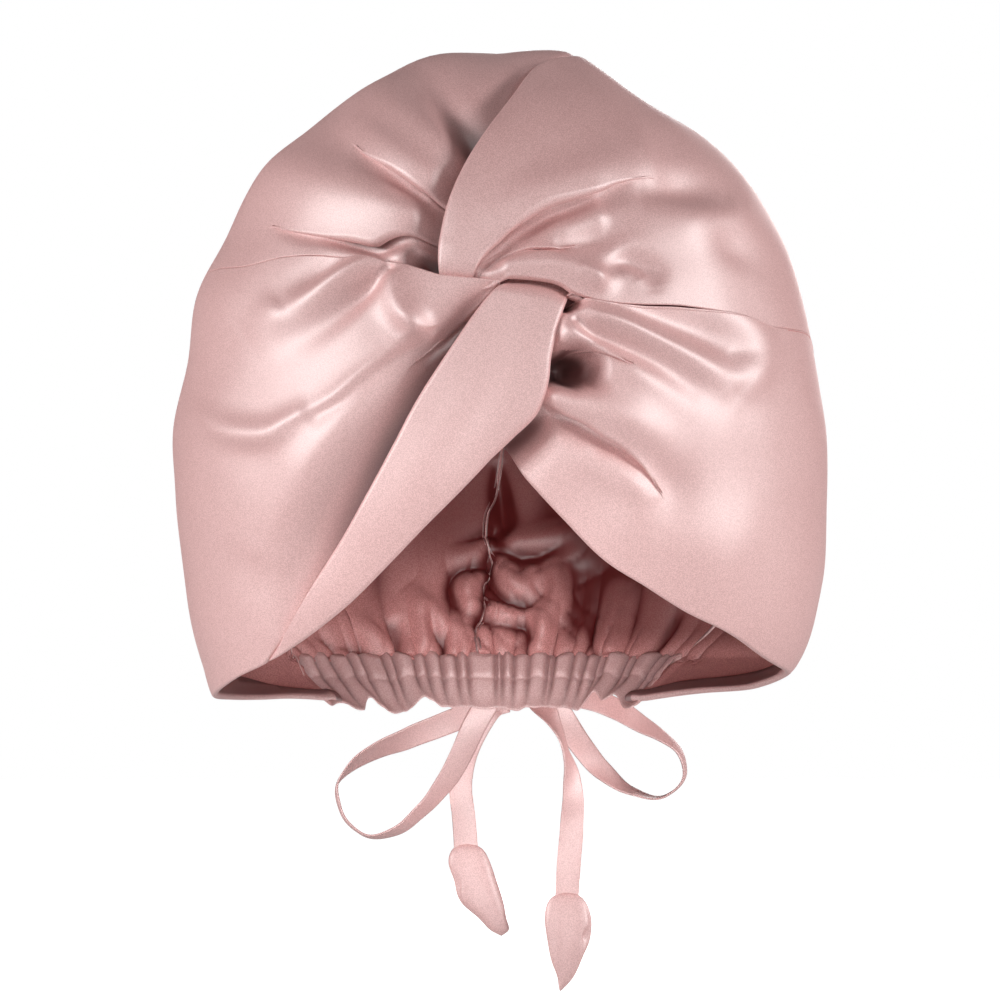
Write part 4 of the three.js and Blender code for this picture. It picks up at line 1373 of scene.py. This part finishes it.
def build_tone_and_painted_shade():
    """Soft uneven tone of a dyed cloth, between two colours, with painted shade deep in its folds."""
    group, given, result = new_group(
        "tone_and_painted_shade",
        [
            ("Vector", "NodeSocketVector", (0, 0, 0)), ("Scale", "NodeSocketFloat", 14.0),
            ("Light", "NodeSocketColor", (1, 1, 1, 1)), ("Deep", "NodeSocketColor", (0, 0, 0, 1)),
            ("Glint", "NodeSocketFloat", 0.5), ("PaintedShade", "NodeSocketFloat", 0.0),
            ("Shadow", "NodeSocketColor", (0.12, 0.008, 0.008, 1)),
        ],
        [("Color", "NodeSocketColor")],
    )
    links = group.links
    cloud = group.nodes.new("ShaderNodeTexNoise")
    cloud.inputs["Detail"].default_value = 3.0
    links.new(given.outputs["Vector"], cloud.inputs["Vector"])
    links.new(given.outputs["Scale"], cloud.inputs["Scale"])
    glint = math_node(group, "SUBTRACT", given.outputs["Glint"], 0.5)
    spots = math_node(group, "MULTIPLY", glint, GLINT_CONTRAST)
    tone = math_node(group, "ADD", cloud.outputs["Fac"], spots)
    mixed_tone = mix_node(group, tone, given.outputs["Deep"], given.outputs["Light"])
    shaded = mix_node(group, given.outputs["PaintedShade"], mixed_tone, given.outputs["Shadow"])
    links.new(shaded, result.inputs["Color"])
    return group


def build_fold_shade():
    """Share of painted shade in a fold, on the outer side (Side 1) or the inner one (Side -1)."""
    group, given, result = new_group(
        "fold_shade",
        [
            ("PaintedShade", "NodeSocketFloat", 0.0), ("Side", "NodeSocketFloat", 1.0),
            ("Shade", "NodeSocketFloat", 0.0),
        ],
        [("Mask", "NodeSocketFloat")],
    )
    signed = math_node(group, "MULTIPLY", given.outputs["PaintedShade"], given.outputs["Side"])
    fold = math_node(group, "MAXIMUM", signed, 0.0)
    group.links.new(math_node(group, "ADD", fold, given.outputs["Shade"]), result.inputs["Mask"])
    return group


ROUGHNESS_SPREAD = 0.12
WEAVE_PITCH = 2500.0
WEAVE_HEIGHT = 0.00006
satin_weave = build_satin_weave()
tone_and_painted_shade = build_tone_and_painted_shade()
fold_shade = build_fold_shade()


def make_satin(name, light, deep, roughness, pitch, bump_height, side=1.0, ior=2.15):
    """Satin between a light and a deep tone; side is 1 for its outer face and -1 for its inner one."""
    material = bpy.data.materials.new(name)
    material.use_nodes = True
    tree = material.node_tree
    links = tree.links
    shader = tree.nodes["Principled BSDF"]
    where = tree.nodes.new("ShaderNodeTexCoord")
    weave = place_group(tree, satin_weave, {"Pitch": pitch})
    links.new(where.outputs["Object"], weave.inputs["Vector"])
    tone = place_group(tree, tone_and_painted_shade, {"Light": (*light, 1), "Deep": (*deep, 1)})
    links.new(where.outputs["Object"], tone.inputs["Vector"])
    links.new(weave.outputs["Glint"], tone.inputs["Glint"])
    # The hollow attribute holds the painted shade written on each vertex.
    hollow = tree.nodes.new("ShaderNodeAttribute")
    hollow.attribute_name = "hollow"
    shade = place_group(tree, fold_shade, {"Side": side})
    links.new(hollow.outputs["Fac"], shade.inputs["PaintedShade"])
    links.new(shade.outputs["Mask"], tone.inputs["PaintedShade"])
    links.new(tone.outputs["Color"], shader.inputs["Base Color"])
    bump = tree.nodes.new("ShaderNodeBump")
    bump.inputs["Strength"].default_value = 0.5
    bump.inputs["Distance"].default_value = bump_height
    links.new(weave.outputs["Height"], bump.inputs["Height"])
    links.new(bump.outputs["Normal"], shader.inputs["Normal"])
    uneven = math_node(tree, "MULTIPLY", weave.outputs["Glint"], ROUGHNESS_SPREAD)
    rough = math_node(tree, "ADD", uneven, roughness - ROUGHNESS_SPREAD / 2)
    links.new(rough, shader.inputs["Roughness"])
    shader.inputs["IOR"].default_value = ior
    shader.inputs["Specular IOR Level"].default_value = 1.0
    shader.inputs["Specular Tint"].default_value = (1.0, 0.97, 0.96, 1)
    return material


# Tones are linear. The lining's darker tones are painted shade on the inside, and its weaker sheen
# the satin's duller inner side. The casing hangs in shade, and its paler tones are painted light.
SATIN = make_satin(
    "rose_satin", (0.83, 0.485, 0.47), (0.62, 0.30, 0.285), 0.56, WEAVE_PITCH, WEAVE_HEIGHT,
)
SHADED_LINING = make_satin(
    "rose_lining_painted_shade", (0.76, 0.35, 0.33), (0.56, 0.215, 0.205), 0.5, WEAVE_PITCH, WEAVE_HEIGHT,
    side=-1.0, ior=1.45,
)
# Painted light: the casing's tones are paler than the satin's, for light that its shaded place lacks.
LIGHTENED_CASING = make_satin(
    "rose_casing_painted_light", (0.93, 0.62, 0.60), (0.76, 0.42, 0.405), 0.56, WEAVE_PITCH, WEAVE_HEIGHT, ior=1.8,
)
RIBBON = make_satin("rose_ribbon", (0.82, 0.475, 0.46), (0.63, 0.305, 0.29), 0.54, 2800.0, 0.00005)

# The front of a panel lies before this plane. Behind it, the inner side is the lining, with its painted
# shade.
LINING_START = -45.0


def dress_panel(piece):
    """Slots of the outside of the sides and back, their lining, and the two faces of the front."""
    for material in (SATIN, SHADED_LINING, SATIN, SATIN):
        piece.data.materials.append(material)
    for face in piece.data.polygons:
        face.material_index = 0 if face.center.y > LINING_START * MM else 2
    piece.modifiers["wall"].material_offset = 1
    piece.modifiers["wall"].material_offset_rim = 1


for piece in panels:
    dress_panel(piece)
for piece, material in (
    (nape_casing, LIGHTENED_CASING), (tie_tip_left, SATIN), (tie_tip_right, SATIN), (bow_knot, RIBBON),
    (bow_loop_left, RIBBON), (bow_loop_right, RIBBON), (tie_tail_left, RIBBON), (tie_tail_right, RIBBON),
):
    piece.data.materials.append(material)

for piece, node, slot in (
    (crown_left, "crown_left", "satin"),
    (crown_right, "crown_right", "satin"),
    (front_wrap_left, "front_wrap_left", "satin"),
    (twist_band, "twist_band", "satin"),
    (front_wrap_right, "front_wrap_right", "satin"),
    (nape_casing, "nape_casing", "satin"),
    (tie_tip_left, "tie_tip_left", "satin"),
    (tie_tip_right, "tie_tip_right", "satin"),
    (bow_knot, "bow_knot", "ribbon"),
    (bow_loop_left, "bow_loop_left", "ribbon"),
    (bow_loop_right, "bow_loop_right", "ribbon"),
    (tie_tail_left, "tie_tail_left", "ribbon"),
    (tie_tail_right, "tie_tail_right", "ribbon"),
):
    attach(piece, "root")
    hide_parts(node)


def route_points(route, count=36):
    """Points in metres along a ribbon's route."""
    middle = ribbon_frame(route, np.linspace(0, 1, count))[0] * MM
    return [tuple(float(value) for value in point) for point in middle]


for piece, route, length, far_end, others in (
    (bow_loop_left, LOOP_LEFT, length_loop_left, "object", [bow_knot]),
    (bow_loop_right, LOOP_RIGHT, length_loop_right, "object", []),
    (tie_tail_left, TAIL_LEFT, length_tail_left, "fitting", [tie_tip_left]),
    (tie_tail_right, TAIL_RIGHT, length_tail_right, "fitting", [tie_tip_right]),
):
    path = route_points(route)

# Studio: a white floor and world, four soft lamps and a low narrow one.
STUDIO_RADIUS = 6.0
STUDIO_FLOOR = -0.42
WORLD_FILL = 0.09
bm = bmesh.new()
bmesh.ops.create_circle(bm, cap_ends=True, segments=96, radius=STUDIO_RADIUS)
bmesh.ops.translate(bm, verts=bm.verts, vec=(0, 0, STUDIO_FLOOR))
floor = finish_mesh(bm, "studio_floor", smooth=False)
floor_material = bpy.data.materials.new("studio_white")
floor_material.use_nodes = True
floor_shader = floor_material.node_tree.nodes["Principled BSDF"]
floor_shader.inputs["Base Color"].default_value = (0.8, 0.8, 0.8, 1)
floor_shader.inputs["Roughness"].default_value = 0.9
floor_shader.inputs["Specular IOR Level"].default_value = 0.0
floor_shader.inputs["Emission Color"].default_value = (1.0, 1.0, 1.0, 1)
floor_links = floor_material.node_tree.links
floor_seen = floor_material.node_tree.nodes.new("ShaderNodeLightPath")
floor_links.new(floor_seen.outputs["Is Camera Ray"], floor_shader.inputs["Emission Strength"])
floor.data.materials.append(floor_material)


def build_world():
    """White where the camera sees it, and a weaker fill as light."""
    world = bpy.data.worlds.new("studio_world")
    world.use_nodes = True
    tree = world.node_tree
    background = tree.nodes["Background"]
    background.inputs["Color"].default_value = (1, 1, 1, 1)
    seen = tree.nodes.new("ShaderNodeLightPath")
    strength = tree.nodes.new("ShaderNodeMapRange")
    strength.inputs["To Min"].default_value = WORLD_FILL
    strength.inputs["To Max"].default_value = 1.0
    tree.links.new(seen.outputs["Is Camera Ray"], strength.inputs["Value"])
    tree.links.new(strength.outputs["Result"], background.inputs["Strength"])
    bpy.context.scene.world = world


build_world()


def place_lamp(name, data, place, target):
    lamp = bpy.data.objects.new(name, data)
    lamp.location = place
    lamp.rotation_euler = (Vector(target) - Vector(place)).to_track_quat("-Z", "Y").to_euler()
    bpy.context.scene.collection.objects.link(lamp)


for name, place, target, width, height, power in (
    ("left_lamp", (-2.3, -1.0, 0.45), (0, 0, -0.15), 1.0, 0.6, 41),
    ("right_lamp", (2.3, -0.9, 0.45), (0, 0, -0.15), 1.0, 0.6, 39),
    ("front_lamp", (-0.2, -2.7, 1.2), (0, 0, -0.15), 0.9, 0.4, 12),
    ("back_lamp", (0.5, 2.8, 0.3), (0, 0, -0.2), 1.0, 0.6, 24),
):
    soft_light = bpy.data.lights.new(name, "AREA")
    soft_light.shape = "RECTANGLE"
    soft_light.size = width
    soft_light.size_y = height
    soft_light.energy = power
    place_lamp(name, soft_light, place, target)

# The narrow lamp shines through the face opening onto the casing, and below it onto the bow.
low_light = bpy.data.lights.new("low_lamp", "SPOT")
low_light.energy = 104
low_light.spot_size = math.radians(7.8)
low_light.spot_blend = 1.0
low_light.shadow_soft_size = 0.1
place_lamp("low_lamp", low_light, (0, -1.7, -0.33), (0, 0.08, -0.256))

bpy.context.scene.view_settings.view_transform = "Standard"
bpy.context.scene.view_settings.exposure = 0.0
